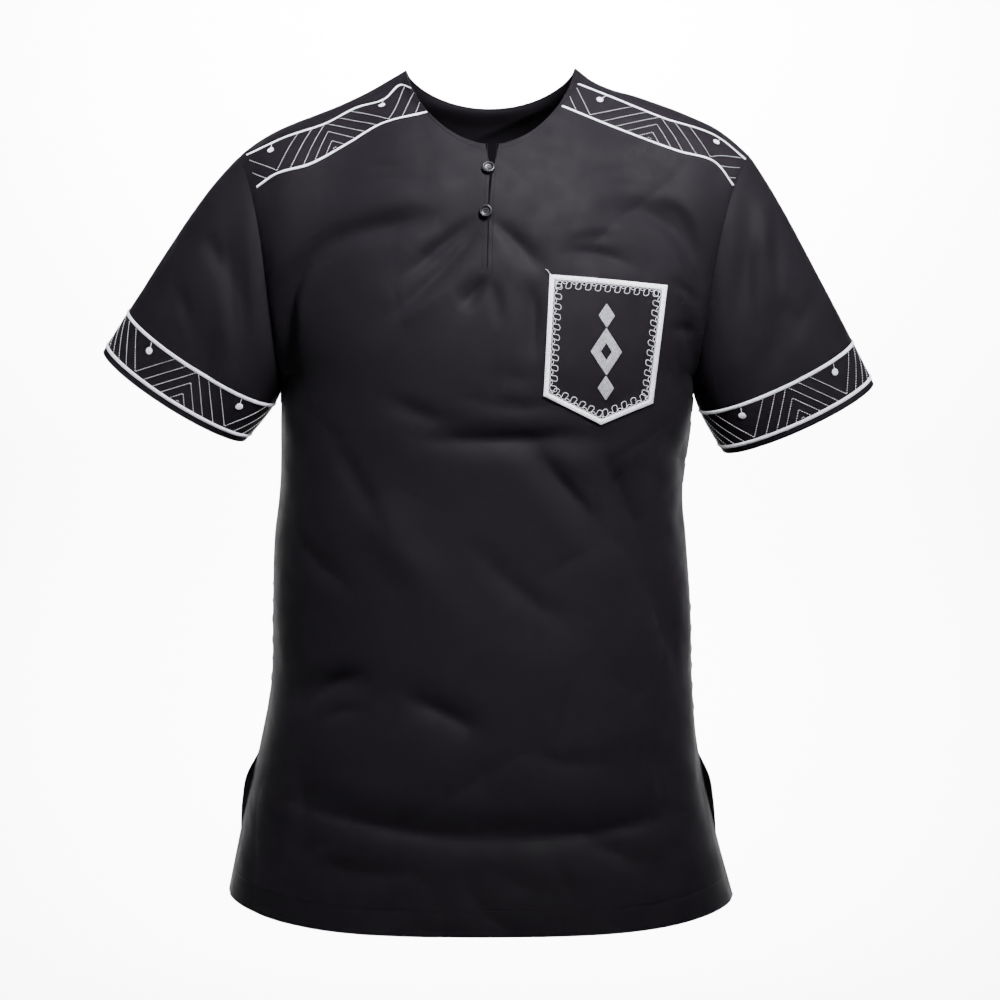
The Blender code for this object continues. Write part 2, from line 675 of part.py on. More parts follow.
def surface_of(points):
    """Search tree of a grid's surface."""
    columns, rows = points.shape[:2]
    vertices = [Vector(point) for point in points.reshape(-1, 3)]
    faces = []
    for i in range(columns - 1):
        for j in range(rows - 1):
            first = i * rows + j
            faces.append((first, first + rows, first + rows + 1, first + 1))
    return BVHTree.FromPolygons(vertices, faces)


def front_at(surface, x, z):
    """Point of the front panel's outer face behind a place seen from the front, and its normal."""
    point, normal, _, _ = surface.ray_cast(Vector((x, -1.0, z)), Vector((0.0, 1.0, 0.0)))
    if normal.y > 0:
        normal = -normal
    return np.array(point), np.array(normal)


def pocket_shares(count, edge_share, step_share):
    """Places across the pocket: its raised edge, the step down and the plain middle."""
    middle = np.linspace(edge_share + step_share, 1 - edge_share - step_share, count + 1)
    edge = [0.0, edge_share]
    return np.concatenate((edge, middle, [1 - edge_share, 1.0]))


def make_pocket(collection, surface):
    """Patch pocket laid on the front, with a raised edge all round."""
    corner = {name: np.array(place) for name, place in POCKET_CORNERS.items()}
    width = np.linalg.norm(corner["top_right"] - corner["top_left"])
    height = np.linalg.norm(corner["bottom_left"] - corner["top_left"])
    across = pocket_shares(POCKET_INNER_COLUMNS, POCKET_EDGE_WIDTH / width, POCKET_EDGE_STEP / width)
    down = pocket_shares(POCKET_INNER_ROWS, POCKET_EDGE_WIDTH / height, POCKET_EDGE_STEP / height)
    plan = np.zeros((len(across), len(down), 2))
    for i, share in enumerate(across):
        top = corner["top_left"] + (corner["top_right"] - corner["top_left"]) * share
        side = "bottom_left" if share < 0.5 else "bottom_right"
        reach = 2 * min(share, 1 - share)
        bottom = corner[side] + (corner["tip"] - corner[side]) * reach
        for j, drop in enumerate(down):
            plan[i, j] = top + (bottom - top) * drop
    points = np.zeros((*plan.shape[:2], 3))
    for i, j in np.ndindex(plan.shape[:2]):
        points[i, j] = front_at(surface, *plan[i, j])[0]
    normals = grid_normals(points, np.array((0.0, -1.0, 0.2)))
    inner = points + normals * LAYER_GAP
    outer = inner + normals * WALL
    last_column = len(across) - 1
    last_row = len(down) - 1
    for i, j in np.ndindex(plan.shape[:2]):
        if i in (0, 1, last_column - 1, last_column) or j in (0, 1, last_row - 1, last_row):
            outer[i, j] += normals[i, j] * POCKET_EDGE_RISE
    data = shell_mesh("pocket", outer, inner, False)
    add_object(collection, "pocket", data, cloth_material("pocket_edge", WHITE_THREAD_EDGE, 0.55))


def make_button_cutter(collection):
    """Four small cylinders that cut a button's holes."""
    mesh = bmesh.new()
    for side_x in (-1, 1):
        for side_y in (-1, 1):
            place = Vector((side_x, side_y, 0)) * BUTTON_HOLE_SPACING + Vector((0, 0, BUTTON_HEIGHT / 2))
            bmesh.ops.create_cone(
                mesh,
                cap_ends=True,
                segments=BUTTON_HOLE_SIDES,
                radius1=BUTTON_HOLE_RADIUS,
                radius2=BUTTON_HOLE_RADIUS,
                depth=BUTTON_HEIGHT * 2,
                matrix=Matrix.Translation(place),
            )
    data = bpy.data.meshes.new("button_holes")
    mesh.to_mesh(data)
    mesh.free()
    cutter = bpy.data.objects.new("button_holes", data)
    cutter.hide_render = True
    cutter.display_type = "WIRE"
    collection.objects.link(cutter)
    return cutter


def make_button(collection, cutters, surface, name, place, material):
    """One turned button with a rim and four holes, lying on the front beside the slit."""
    data = bpy.data.meshes.new(name)
    profile = [(radius * BUTTON_RADIUS, 0.0, height * BUTTON_HEIGHT) for radius, height in BUTTON_PROFILE]
    data.from_pydata(profile, [(i, i + 1) for i in range(len(profile) - 1)], [])
    button = add_object(collection, name, data, material)
    screw = button.modifiers.new("turn", "SCREW")
    screw.steps = BUTTON_SIDES
    screw.render_steps = BUTTON_SIDES
    screw.use_merge_vertices = True
    screw.merge_threshold = 0.00002
    screw.use_smooth_shade = True
    cutter = make_button_cutter(cutters)
    cutter.name = f"{name}_holes"
    cut = button.modifiers.new("holes", "BOOLEAN")
    cut.operation = "DIFFERENCE"
    cut.solver = "EXACT"
    cut.object = cutter
    point, normal = front_at(surface, *place)
    turn = Vector(normal).to_track_quat("Z", "Y").to_matrix().to_4x4()
    seat = Matrix.Translation(Vector(point + normal * BUTTON_LIFT)) @ turn
    button.matrix_world = seat
    cutter.matrix_world = seat
    return button


def main():
    """Builds the shirt."""
    for old in list(bpy.data.objects):
        bpy.data.objects.remove(old)
    collection = bpy.data.collections.new("dashiki_shirt")
    cutters = bpy.data.collections.new("cutters")
    bpy.context.scene.collection.children.link(collection)
    bpy.context.scene.collection.children.link(cutters)
    front_points = make_panels(collection)
    surface = surface_of(front_points)
    make_pocket(collection, surface)
    button_material = cloth_material("black_button", BLACK_BUTTON, 0.15)
    for name, place in BUTTONS.items():
        make_button(collection, cutters, surface, name, place, button_material)


main()
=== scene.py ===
"""The finish of a short-sleeved dashiki shirt: cotton, white embroidery, buttons and studio."""
import functools
import math
from collections import namedtuple

import bmesh
import bpy
import numpy as np
from bpy.props import FloatProperty, FloatVectorProperty, IntProperty, PointerProperty
from mathutils import Matrix, Vector
from mathutils.bvhtree import BVHTree


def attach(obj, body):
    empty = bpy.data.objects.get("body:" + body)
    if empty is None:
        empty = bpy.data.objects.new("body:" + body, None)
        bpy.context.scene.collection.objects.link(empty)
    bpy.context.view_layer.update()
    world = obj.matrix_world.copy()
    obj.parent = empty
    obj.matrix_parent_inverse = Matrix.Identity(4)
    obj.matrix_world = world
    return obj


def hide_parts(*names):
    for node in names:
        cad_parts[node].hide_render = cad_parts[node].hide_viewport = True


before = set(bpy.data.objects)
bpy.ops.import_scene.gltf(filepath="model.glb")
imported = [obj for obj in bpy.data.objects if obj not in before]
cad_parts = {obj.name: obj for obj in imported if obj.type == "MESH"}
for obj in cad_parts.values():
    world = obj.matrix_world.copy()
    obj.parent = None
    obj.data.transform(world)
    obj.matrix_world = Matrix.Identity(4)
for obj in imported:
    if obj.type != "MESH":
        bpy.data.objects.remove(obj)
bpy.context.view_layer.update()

bl_info = {
    "name": "Dashiki Shirt Finish",
    "version": (1, 0, 0),
    "blender": (4, 5, 0),
    "location": "3D View > Sidebar > Shirt",
    "description": "Sews the cotton shells, embroidery and buttons of a dashiki shirt",
    "category": "Object",
}

# Sides of the body and of the shirt, as seen in the front view
FRONT = -1
BACK = 1
LEFT = -1
RIGHT = 1

# Heights
UNDERARM_Z = -0.280
VENT_TOP_Z = -0.615
HEM_CENTRE_Z = -0.757
HEM_SIDE_Z = {LEFT: -0.735, RIGHT: -0.741}
HEM_TURN = 4.0

# Body sections from the underarm to the hem
Section = namedtuple("Section", "z centre_x half_width front back")
SECTIONS = (
    Section(-0.280, -0.0020, 0.1855, 0.124, 0.113),
    Section(-0.315, -0.0035, 0.1845, 0.123, 0.108),
    Section(-0.351, -0.0060, 0.1820, 0.121, 0.101),
    Section(-0.378, -0.0080, 0.1810, 0.119, 0.096),
    Section(-0.415, -0.0088, 0.1845, 0.118, 0.093),
    Section(-0.482, -0.0075, 0.1878, 0.119, 0.094),
    Section(-0.554, -0.0076, 0.1896, 0.123, 0.104),
    Section(-0.600, -0.0100, 0.1955, 0.128, 0.113),
    Section(-0.671, -0.0110, 0.2100, 0.134, 0.122),
    Section(-0.757, -0.0080, 0.2300, 0.141, 0.127),
)
ROUNDNESS = 2.3

# Shoulder seams, neckline and armholes
SeamPoint = namedtuple("SeamPoint", "x z")
SHOULDER_SEAM = {
    LEFT: (
        SeamPoint(-0.0755, 0.0000), SeamPoint(-0.1150, -0.0225), SeamPoint(-0.1440, -0.0355),
        SeamPoint(-0.1790, -0.0490), SeamPoint(-0.2050, -0.0620), SeamPoint(-0.2250, -0.0775),
    ),
    RIGHT: (
        SeamPoint(0.0765, 0.0020), SeamPoint(0.0930, -0.0105), SeamPoint(0.1370, -0.0255),
        SeamPoint(0.1760, -0.0400), SeamPoint(0.2080, -0.0555), SeamPoint(0.2330, -0.0770),
    ),
}
Neckline = namedtuple("Neckline", "depth drop steepness")
NECKLINE = {FRONT: Neckline(0.075, 0.078, 1.4), BACK: Neckline(0.052, 0.028, 1.4)}
ARMHOLE_DEPTH = {FRONT: 0.047, BACK: 0.052}
ARMHOLE_RUN = 0.62
ARMHOLE_TURN = 5.0
ARMHOLE_FADE = (0.50, 1.0)
PROFILE_DEPTH = (0.60, 1.05)
PROFILE_DROP = (0.18, 0.55)

# The panels' coarse grid, which the solids have too, and how much finer the shells are
NECK_SHARE = 0.44
NECK_ANGLE = math.radians(34)
SHOULDER_COLUMNS = 9
NECK_COLUMNS = {FRONT: 14, BACK: 10}
SKIRT_ROWS = 6
TRUNK_ROWS = 15
ROWS_BELOW_SLIT = 5
ROWS_BESIDE_SLIT = 10
SLIT_END_SHARE = 0.34
SMOOTHING_ROUNDS = 5
FINER = 6
SLEEVE_FINER = 5

# The slit and the side vents
SlitPoint = namedtuple("SlitPoint", "z middle_x half_gap")
SLIT = (
    SlitPoint(-0.1936, -0.0021, 0.0005),
    SlitPoint(-0.1300, -0.0004, 0.0008),
    SlitPoint(-0.1080, 0.0012, 0.0010),
    SlitPoint(-0.0952, 0.0024, 0.0023),
    SlitPoint(-0.0780, 0.0022, 0.0058),
)
VENT_SPREAD = {FRONT: 0.007, BACK: 0.010}
VentEdge = namedtuple("VentEdge", "below back_out")
VENT_EDGE = (
    VentEdge(0.00, 0.000),
    VentEdge(0.17, 0.006),
    VentEdge(0.40, 0.004),
    VentEdge(1.00, -0.012),
)

# Sleeves
Cuff = namedtuple("Cuff", "outer_x outer_z inner_x inner_z swell dip")
CUFF = {
    LEFT: Cuff(-0.3465, -0.2520, -0.2205, -0.3330, 0.0045, 0.012),
    RIGHT: Cuff(0.3440, -0.2810, 0.2100, -0.3430, 0.0030, 0.012),
}
CUFF_DEPTH = 0.034
CUFF_BACK_DIP = -0.003
SLEEVE_ROWS = 8
SLEEVE_SWELL_UNDER = 0.005
SLEEVE_SWELL_PLACE = 0.65
SLEEVE_RADIUS = 0.06

# Folds in millimetres: three points (x, z) of a curve across the cloth seen from the front,
# then the width and the height, which is below zero for a trough
FRONT_FOLDS = (
    # Around the armholes
    (-174, -300, -204, -190, -137, -161, 11, -8.5), (-148, -166, -104, -148, -48, -146, 10, -6),
    (109, -136, 182, -122, 190, -225, 11, -7.8), (-126, -139, -70, -122, -12, -116, 16, 3.7),
    # From the buttons and the end of the slit
    (-12, -143, -48, -176, -80, -202, 10, -4.4), (-7, -155, -39, -192, -95, -240, 11, -3.7),
    (8, -150, 31, -173, 50, -196, 10, -3.7), (-2, -196, -14, -208, -26, -222, 10, -3.7),
    (30, -198, 37, -230, 36, -268, 10, -3.1),
    # Around the pocket
    (60, -172, 96, -172, 132, -184, 11, -3.1), (150, -335, 168, -345, 182, -362, 13, -3.7),
    # Across the waist and down to the hem
    (-60, -332, 22, -340, 104, -334, 13, -4.4), (29, -336, 50, -361, 99, -421, 13, -4.4),
    (95, -323, 128, -420, 172, -546, 15, -5.6), (-108, -387, -72, -430, -49, -469, 18, 3.7),
    (-160, -558, -137, -536, -100, -545, 13, -4.4), (-72, -554, -40, -566, -10, -584, 13, -3.7),
    (-180, -640, 0, -697, 179, -654, 15, -5), (82, -678, 105, -686, 135, -700, 13, -3.1),
)
FRONT_CREASES = (
    # Drag lines under the shoulder bands
    (-108, -99, -92, -94, -74, -97, 5, -1.1), (-100, -110, -76, -107, -50, -113, 5, -1.2),
    (84, -104, 108, -96, 134, -98, 5, -1.2), (94, -113, 122, -107, 146, -116, 5, -1),
    # Inside the armhole folds
    (-176, -262, -188, -206, -158, -172, 6, -2.7), (-164, -236, -168, -202, -146, -184, 5, 1.8),
    (150, -128, 176, -132, 182, -170, 6, -2.7), (166, -216, 176, -236, 178, -268, 6, -2.4),
    (158, -196, 172, -204, 184, -216, 5, -2.3), (158, -236, 170, -240, 182, -238, 5, -2.3),
    # Fans from the lower button and the slit's end
    (-12, -145, -40, -164, -66, -190, 4.5, -2.4), (-8, -152, -34, -184, -68, -216, 4.5, -2.3),
    (4, -148, 20, -160, 36, -178, 4.5, -2.1), (2, -198, 6, -214, 8, -236, 5, -2.4),
    (-4, -200, -16, -212, -22, -222, 4.5, -2.3), (-40, -206, -60, -226, -88, -240, 6, 1.8),
    (34, -200, 40, -226, 38, -262, 4.5, -2.1),
    # Above and beside the pocket
    (66, -174, 96, -168, 130, -190, 4.5, -2.1), (70, -164, 92, -158, 114, -160, 4.5, -1.8),
    (46, -200, 40, -214, 42, -240, 4.5, -1.5),
    # Small crossing creases of the waist
    (-48, -336, 10, -338, 70, -332, 5, -2.4), (46, -350, 62, -372, 88, -400, 5, -2.4),
    (-20, -300, 18, -312, 60, -306, 7, -1.8), (-90, -300, -60, -318, -30, -318, 8, -2.1),
    (100, -350, 122, -386, 134, -430, 6, -2.7), (130, -420, 150, -470, 164, -530, 6, -2.4),
    (-130, -340, -116, -372, -100, -396, 9, -2.4), (-170, -420, -150, -446, -120, -462, 9, -2.1),
    (-10, -430, 20, -466, 60, -490, 10, -2.1),
    # Low loops and the press lines over the hem
    (-156, -560, -138, -542, -114, -540, 5, -2.4), (-150, -580, -130, -566, -110, -568, 6, -1.8),
    (-70, -556, -38, -568, -14, -582, 5, -2.1), (-172, -648, -90, -672, 0, -676, 5, -2.4),
    (10, -676, 80, -676, 170, -658, 5, -2.1), (-140, -700, -100, -710, -60, -706, 7, -1.5),
    (86, -680, 108, -688, 130, -700, 5, -2.1), (140, -600, 150, -630, 152, -660, 8, -2.1),
    (-168, -600, -160, -640, -164, -690, 8, -2.1), (30, -600, 60, -616, 100, -612, 9, -1.8),
)
BACK_FOLDS = (
    (-178, -270, -165, -190, -110, -150, 14, -4.5), (176, -255, 170, -180, 118, -138, 14, -4),
    (-120, -95, -20, -118, 110, -90, 18, 3), (-140, -345, -60, -372, 30, -366, 15, -4),
    (-30, -405, 60, -420, 140, -395, 15, -4.5), (-125, -450, -50, -462, 20, -452, 16, -3.5),
    (-165, -560, -120, -610, -100, -690, 17, -4), (150, -520, 120, -600, 125, -680, 17, -4),
    (-170, -665, 10, -700, 175, -662, 16, -3.5),
)
BACK_CREASES = (
    (-160, -250, -150, -196, -112, -164, 6, -2.5), (162, -232, 154, -180, 122, -150, 6, -2.2),
    (-130, -350, -50, -378, 20, -370, 6, -2.5), (-100, -380, -20, -398, 60, -390, 8, -2.2),
    (0, -414, 60, -426, 130, -404, 6, -2.5), (50, -446, 100, -450, 150, -432, 8, -2),
    (-120, -456, -60, -468, 10, -460, 6, -2.2), (-156, -570, -126, -616, -112, -670, 7, -2.2),
    (146, -540, 124, -600, 126, -660, 7, -2.2), (-160, -672, -60, -694, 0, -692, 5, -2),
    (10, -692, 80, -690, 166, -668, 5, -2), (-80, -120, -60, -134, -30, -138, 6, -1.7),
    (40, -140, 66, -132, 88, -116, 6, -1.7), (-40, -240, -20, -290, -30, -330, 9, -1.7),
    (80, -250, 70, -296, 84, -340, 9, -1.7),
)
SLEEVE_FOLDS = {
    (LEFT, FRONT): (
        (-226, -105, -221, -180, -217, -262, 11, -4.6), (-248, -150, -240, -166, -236, -190, 10, -3.3),
        (-262, -300, -250, -270, -246, -235, 12, -3.3), (-234, -140, -229, -190, -228, -240, 5, -2.1),
        (-252, -154, -243, -168, -237, -184, 5, -1.8), (-282, -190, -268, -214, -262, -240, 7, -1.6),
    ),
    (LEFT, BACK): (
        (-228, -120, -222, -190, -218, -255, 11, -4.6), (-300, -215, -270, -235, -240, -280, 12, -3.9),
        (-240, -130, -236, -180, -232, -230, 6, -1.8),
    ),
    (RIGHT, FRONT): (
        (226, -110, 221, -175, 219, -250, 11, -4.6), (246, -112, 240, -150, 243, -190, 11, 3.3),
        (262, -205, 258, -240, 240, -285, 12, -3.3), (232, -130, 229, -180, 230, -235, 5, -2.1),
        (256, -120, 251, -156, 256, -196, 6, -1.8), (290, -200, 280, -224, 266, -244, 7, -1.6),
    ),
    (RIGHT, BACK): (
        (230, -125, 223, -190, 219, -255, 11, -4.6), (300, -235, 270, -245, 242, -290, 12, -3.9),
        (242, -130, 238, -190, 234, -240, 6, -1.8),
    ),
}
FOLD_SAMPLES = 24
FOLD_EDGE_FADE = 0.12

# Loose undulation of the cloth: lattice spacing across and down, and height
Swell = namedtuple("Swell", "across down height seed")
SWELLS = (
    Swell(0.150, 0.110, 0.0016, 11),
    Swell(0.070, 0.055, 0.0009, 23),
    Swell(0.032, 0.024, 0.0004, 37),
)

# Fine crumples: lattice spacing across and down, depth, turn of the lattice
Crumple = namedtuple("Crumple", "across down depth seed turn")
CRUMPLES = (
    Crumple(0.105, 0.048, 0.0010, 53, 0.45),
    Crumple(0.080, 0.036, 0.0008, 67, -0.60),
    Crumple(0.060, 0.110, 0.0007, 71, 0.20),
)
CRUMPLE_SHARPNESS = 5
CRUMPLE_PATCH = 0.13
CRUMPLE_FADE = (-0.25, 0.6)
HEM_LOOSENESS = 0.8
LATTICE = 64

# Sewn edges: how proud the cloth stands beside a seam, and the puckers along it
SEAM_RISE = 0.0006
SEAM_ROLL = 0.0025
PUCKER_HEIGHT = 0.00025
PUCKER_REACH = 0.012
PUCKER_LENGTH = 0.017

# Topstitching: distance from each kind of free edge
HEM_LINE = 0.022
NECK_LINE = 0.006
VENT_LINE = 0.008
SLIT_LINE = 0.004
TOPSTITCH_PITCH = 0.0030
TOPSTITCH_LENGTH = 0.0025
TOPSTITCH_RADIUS = 0.00022
SEAM_GLOSS = 0.05

# Patch pocket: corners seen from the front, its cells, its gap and its satin edge
POCKET_CORNERS = {
    "top_left": (0.0514, -0.1941),
    "top_right": (0.1543, -0.2005),
    "bottom_right": (0.1415, -0.3033),
    "tip": (0.0957, -0.3225),
    "bottom_left": (0.0460, -0.2984),
}
POCKET_CELLS = 64
POCKET_GAP = 0.0002
POCKET_RIM = 0.0002
POCKET_EDGE = 0.0042

# Buttons: place seen from the front, and turned profile of radius and height
BUTTONS = {"button_upper": (-0.0010, -0.1003), "button_lower": (-0.0031, -0.1392)}
BUTTON_RADIUS = 0.00575
BUTTON_PROFILE = (
    (0.00, 0.52), (0.55, 0.58), (0.68, 0.88), (0.80, 1.00), (0.93, 0.86),
    (1.00, 0.55), (0.94, 0.20), (0.70, 0.00), (0.00, 0.00),
)
BUTTON_HEIGHT = 0.0026
BUTTON_HOLE_RADIUS = 0.00055
BUTTON_HOLE_SPACING = 0.0011
BUTTON_LIFT = 0.0009
BUTTON_THREAD_LEVEL = 0.60
BUTTON_THREAD_RADIUS = 0.00028

# Loose thread end at the pocket's corner
LOOSE_END = ((0.0535, -0.1950), (0.0512, -0.1932), (0.0497, -0.1908), (0.0478, -0.1897))
LOOSE_END_LIFT = (0.0018, 0.0016, 0.0022, 0.0012)
LOOSE_FINENESS = 0.7

# Lay of each kind of stitch: how high it arches, and how high it lies over the cloth
FINE_LAY = (0.0004, 0.0002)
SATIN_LAY = (0.0007, 0.0003)
FILL_LAY = (0.0005, 0.0003)
LOOSE_LAY = (0.0001, 0.0)
SEAM_LAY = (0.0002, 0.0)

# Seeds of the small turns of the stitches
SEEDS = {
    "pocket": 41, "lozenges": 47, "loose_end": 49,
    "shoulders": 61, "cuffs": 81, "hems": 101, "buttons": 111,
}

# Scrolls inside the pocket's edge, and the lozenges: centre, half width, half height, open share
SCROLL_PITCH = 0.0084
SCROLL_HEIGHT = 0.0064
SCROLL_BULB = 0.0011
SCROLL_LEAN = 0.0012
SCROLL_LOW = 0.0024
SCROLL_GAP = 0.0006
SCROLL_STEP = 0.0011
SCROLL_STITCH = 0.0012
SCROLL_FINENESS = 0.75
FILL_STITCH = 0.0030
FILL_LEAST = 0.0006
FILL_STAGGER = 0.0009
FILL_MARGIN = 0.0005
LOZENGES = (
    (0.1000, -0.2600, 0.0135, 0.0205, 0.36),
    (0.1004, -0.2290, 0.0070, 0.0105, 0.0),
    (0.0996, -0.2910, 0.0070, 0.0105, 0.0),
)

# Chevron bands. Lines start on the lower border at shares of half a repeat; the apex line is the
# one that meets its mirror image on the upper border
CHEVRON_STARTS = (0.0, 0.196, 0.416, 0.612, 0.81, 0.93)
CHEVRON_APEX = 2
CHEVRON_LIFT = 0.003
DOT_DROP = 0.0095
DOT_LEAN = 0.003
STEM_STITCH = 0.0022
GROUND_SHARES = (-0.12, 1.12)
GROUND_ROWS = 33
EYE = (0.009, -2.3, -0.387)
Band = namedtuple("Band", "repeat phase lines")
SHOULDER_BANDS = {
    "shoulder_left": Band(0.1085, 0.023, (
        ((-0.2187, -0.0766), (-0.1836, -0.0604), (-0.1467, -0.0478), (-0.1206, -0.0343),
         (-0.0945, -0.0262), (-0.0792, -0.0136), (-0.0711, -0.0163)),
        ((-0.2097, -0.1054), (-0.1944, -0.0946), (-0.1620, -0.0847), (-0.1287, -0.0667),
         (-0.0981, -0.0487), (-0.0567, -0.0379)),
    )),
    "shoulder_right": Band(0.112, 0.025, (
        ((0.0792, -0.0127), (0.1134, -0.0262), (0.1530, -0.0424), (0.2061, -0.0613),
         (0.2295, -0.0802)),
        ((0.0648, -0.0325), (0.1134, -0.0523), (0.1692, -0.0730), (0.2034, -0.0838),
         (0.2187, -0.1036)),
    )),
}
CUFF_BAND_LOW = 0.0072
CUFF_BAND_HIGH = 0.042
CUFF_REPEATS = 4
CUFF_PHASE = {"sleeve_left": 0.42, "sleeve_right": 0.515}

# Studio: round sweep and lights
FLOOR_Z = -1.30
SWEEP_RADIUS = 3.6
SWEEP_HEIGHT = 4.5
SWEEP_SIDES = 48
SWEEP_STEPS = 9
SWEEP_COLOUR = (0.55, 0.55, 0.555)
Light = namedtuple("Light", "place target size spread")
LIGHTS = {
    "key": Light((0.45, -1.1, 1.2), (0.0, 0.0, -0.12), 0.6, math.radians(36)),
    "fill": Light((-2.0, -1.8, 0.1), (0.0, 0.0, -0.35), 1.8, math.pi),
    "back_glow": Light((0.0, 1.6, 1.7), (0.0, 3.6, -0.4), 1.8, math.radians(110)),
}


def smooth_through(knots, values, place):
    """Value at a place on a smooth curve through the given values, which may be vectors."""
    knots = np.asarray(knots, dtype=float)
    values = np.asarray(values, dtype=float)
    slopes = np.gradient(values, knots, axis=0)
    first = int(np.clip(np.searchsorted(knots, place) - 1, 0, len(knots) - 2))
    span = knots[first + 1] - knots[first]
    t = (place - knots[first]) / span
    start = values[first] * (1 + 2 * t) * (1 - t) ** 2 + slopes[first] * span * t * (1 - t) ** 2
    end = values[first + 1] * (3 - 2 * t) * t**2 - slopes[first + 1] * span * (1 - t) * t**2
    return start + end


def fade(value, low, high):
    """Soft step from 0 at low to 1 at high, for numbers and arrays."""
    t = np.clip((np.asarray(value, dtype=float) - low) / (high - low), 0.0, 1.0)
    return t * t * (3 - 2 * t)


def run_along(points):
    """Length along a line of points from the first one to each."""
    return np.concatenate(([0.0], np.cumsum(np.linalg.norm(np.diff(points, axis=0), axis=1))))


def at_lengths(lengths, run, values):
    """Values of a line's points, or normals, at lengths along it."""
    return np.stack([np.interp(lengths, run, part) for part in np.transpose(values)], axis=-1)


def rounded(value):
    """Sine or cosine bent so that the body's section is slightly fuller than an ellipse."""
    return math.copysign(abs(value) ** (2 / ROUNDNESS), value)


def body_point(side, angle, z):
    """Point of the body's section at a height, with angle 0 at the middle of front or back."""
    heights = [row.z for row in reversed(SECTIONS)]
    sizes = [(row.centre_x, row.half_width, row.front, row.back) for row in reversed(SECTIONS)]
    centre_x, half_width, front, back = smooth_through(heights, sizes, z)
    depth = front if side == FRONT else back
    x = centre_x + half_width * rounded(math.sin(angle))
    return np.array((x, side * depth * rounded(math.cos(angle)), z))


def shoulder_point(hand, share):
    """Point of a shoulder seam, with share 0 at the neck point and 1 at the shoulder point."""
    points = np.array(SHOULDER_SEAM[hand])
    run = run_along(points)
    x, z = smooth_through(run / run[-1], points, share)
    return np.array((x, 0.0, z))


def neck_point(side, share):
    """Point of the neckline, with share -1 at the left neck point and 1 at the right one."""
    neck = NECKLINE[side]
    left = SHOULDER_SEAM[LEFT][0]
    right = SHOULDER_SEAM[RIGHT][0]
    turn = math.pi / 2 * share
    x = (left.x + right.x) / 2 + (right.x - left.x) / 2 * math.sin(turn)
    level = left.z + (right.z - left.z) * (1 + share) / 2
    drop = neck.drop * max(math.cos(turn), 0.0) ** neck.steepness
    return np.array((x, side * neck.depth * math.cos(turn), level - drop))


def armhole_point(hand, side, height):
    """Point of an armhole, with height 0 at the underarm and 1 at the shoulder point."""
    low = body_point(side, hand * math.pi / 2, UNDERARM_Z)
    high = shoulder_point(hand, 1.0)
    climb = (1 - math.cos(math.pi * height)) / 2
    run = ARMHOLE_RUN * climb + (1 - ARMHOLE_RUN) * climb**ARMHOLE_TURN
    x = low[0] + (high[0] - low[0]) * run
    z = low[2] + (high[2] - low[2]) * climb
    return np.array((x, side * ARMHOLE_DEPTH[side] * math.sin(math.pi * height), z))


def column_ends(side, across):
    """Angle on the body and top point of a panel's column, with across -1 left and 1 right."""
    hand = LEFT if across < 0 else RIGHT
    if abs(across) < NECK_SHARE:
        share = across / NECK_SHARE
        return NECK_ANGLE * share, neck_point(side, share)
    share = (abs(across) - NECK_SHARE) / (1 - NECK_SHARE)
    return hand * (NECK_ANGLE + (math.pi / 2 - NECK_ANGLE) * share), shoulder_point(hand, share)


def profile_point(low, high, height):
    """Point on the shoulder-to-chest curve from the underarm level up to the top edge."""
    down = 1 - height
    weights = (3 * down * (1 - down) ** 2, 3 * down**2 * (1 - down))
    depth = weights[0] * PROFILE_DEPTH[0] + weights[1] * PROFILE_DEPTH[1] + down**3
    drop = weights[0] * PROFILE_DROP[0] + weights[1] * PROFILE_DROP[1] + down**3
    share = np.array((depth, depth, drop))
    return high + (low - high) * share


def slit_at(z):
    """Middle and half opening of the slit at a height."""
    heights = [row.z for row in SLIT]
    middle = np.interp(z, heights, [row.middle_x for row in SLIT])
    half_gap = np.interp(z, heights, [row.half_gap for row in SLIT])
    return middle, half_gap


def upper_point(side, across, height):
    """Point of a panel between the underarm level and its top edge."""
    angle, top = column_ends(side, across)
    point = profile_point(body_point(side, angle, UNDERARM_Z), top, height)
    hand = LEFT if across < 0 else RIGHT
    low_edge = body_point(side, hand * math.pi / 2, UNDERARM_Z)
    edge = profile_point(low_edge, shoulder_point(hand, 1.0), height)
    return point + (armhole_point(hand, side, height) - edge) * fade(abs(across), *ARMHOLE_FADE)


def lower_point(side, across, below):
    """Point of a panel under the underarm, with below 1 at the vent's top and 2 at the hem."""
    angle, _ = column_ends(side, across)
    if below <= 1:
        return body_point(side, angle, UNDERARM_Z + (VENT_TOP_Z - UNDERARM_Z) * below)
    side_z = HEM_SIDE_Z[LEFT if across < 0 else RIGHT]
    hem = HEM_CENTRE_Z + (side_z - HEM_CENTRE_Z) * abs(math.sin(angle)) ** HEM_TURN
    point = body_point(side, angle, VENT_TOP_Z + (hem - VENT_TOP_Z) * (below - 1))
    nearness = fade(abs(across), 0.75, 1.0)
    point[1] += side * VENT_SPREAD[side] * (below - 1) * nearness
    if side == BACK:
        places, outs = zip(*VENT_EDGE)
        out = smooth_through(places, outs, below - 1)
        point[0] += math.copysign(1.0, across) * out * nearness
    return point


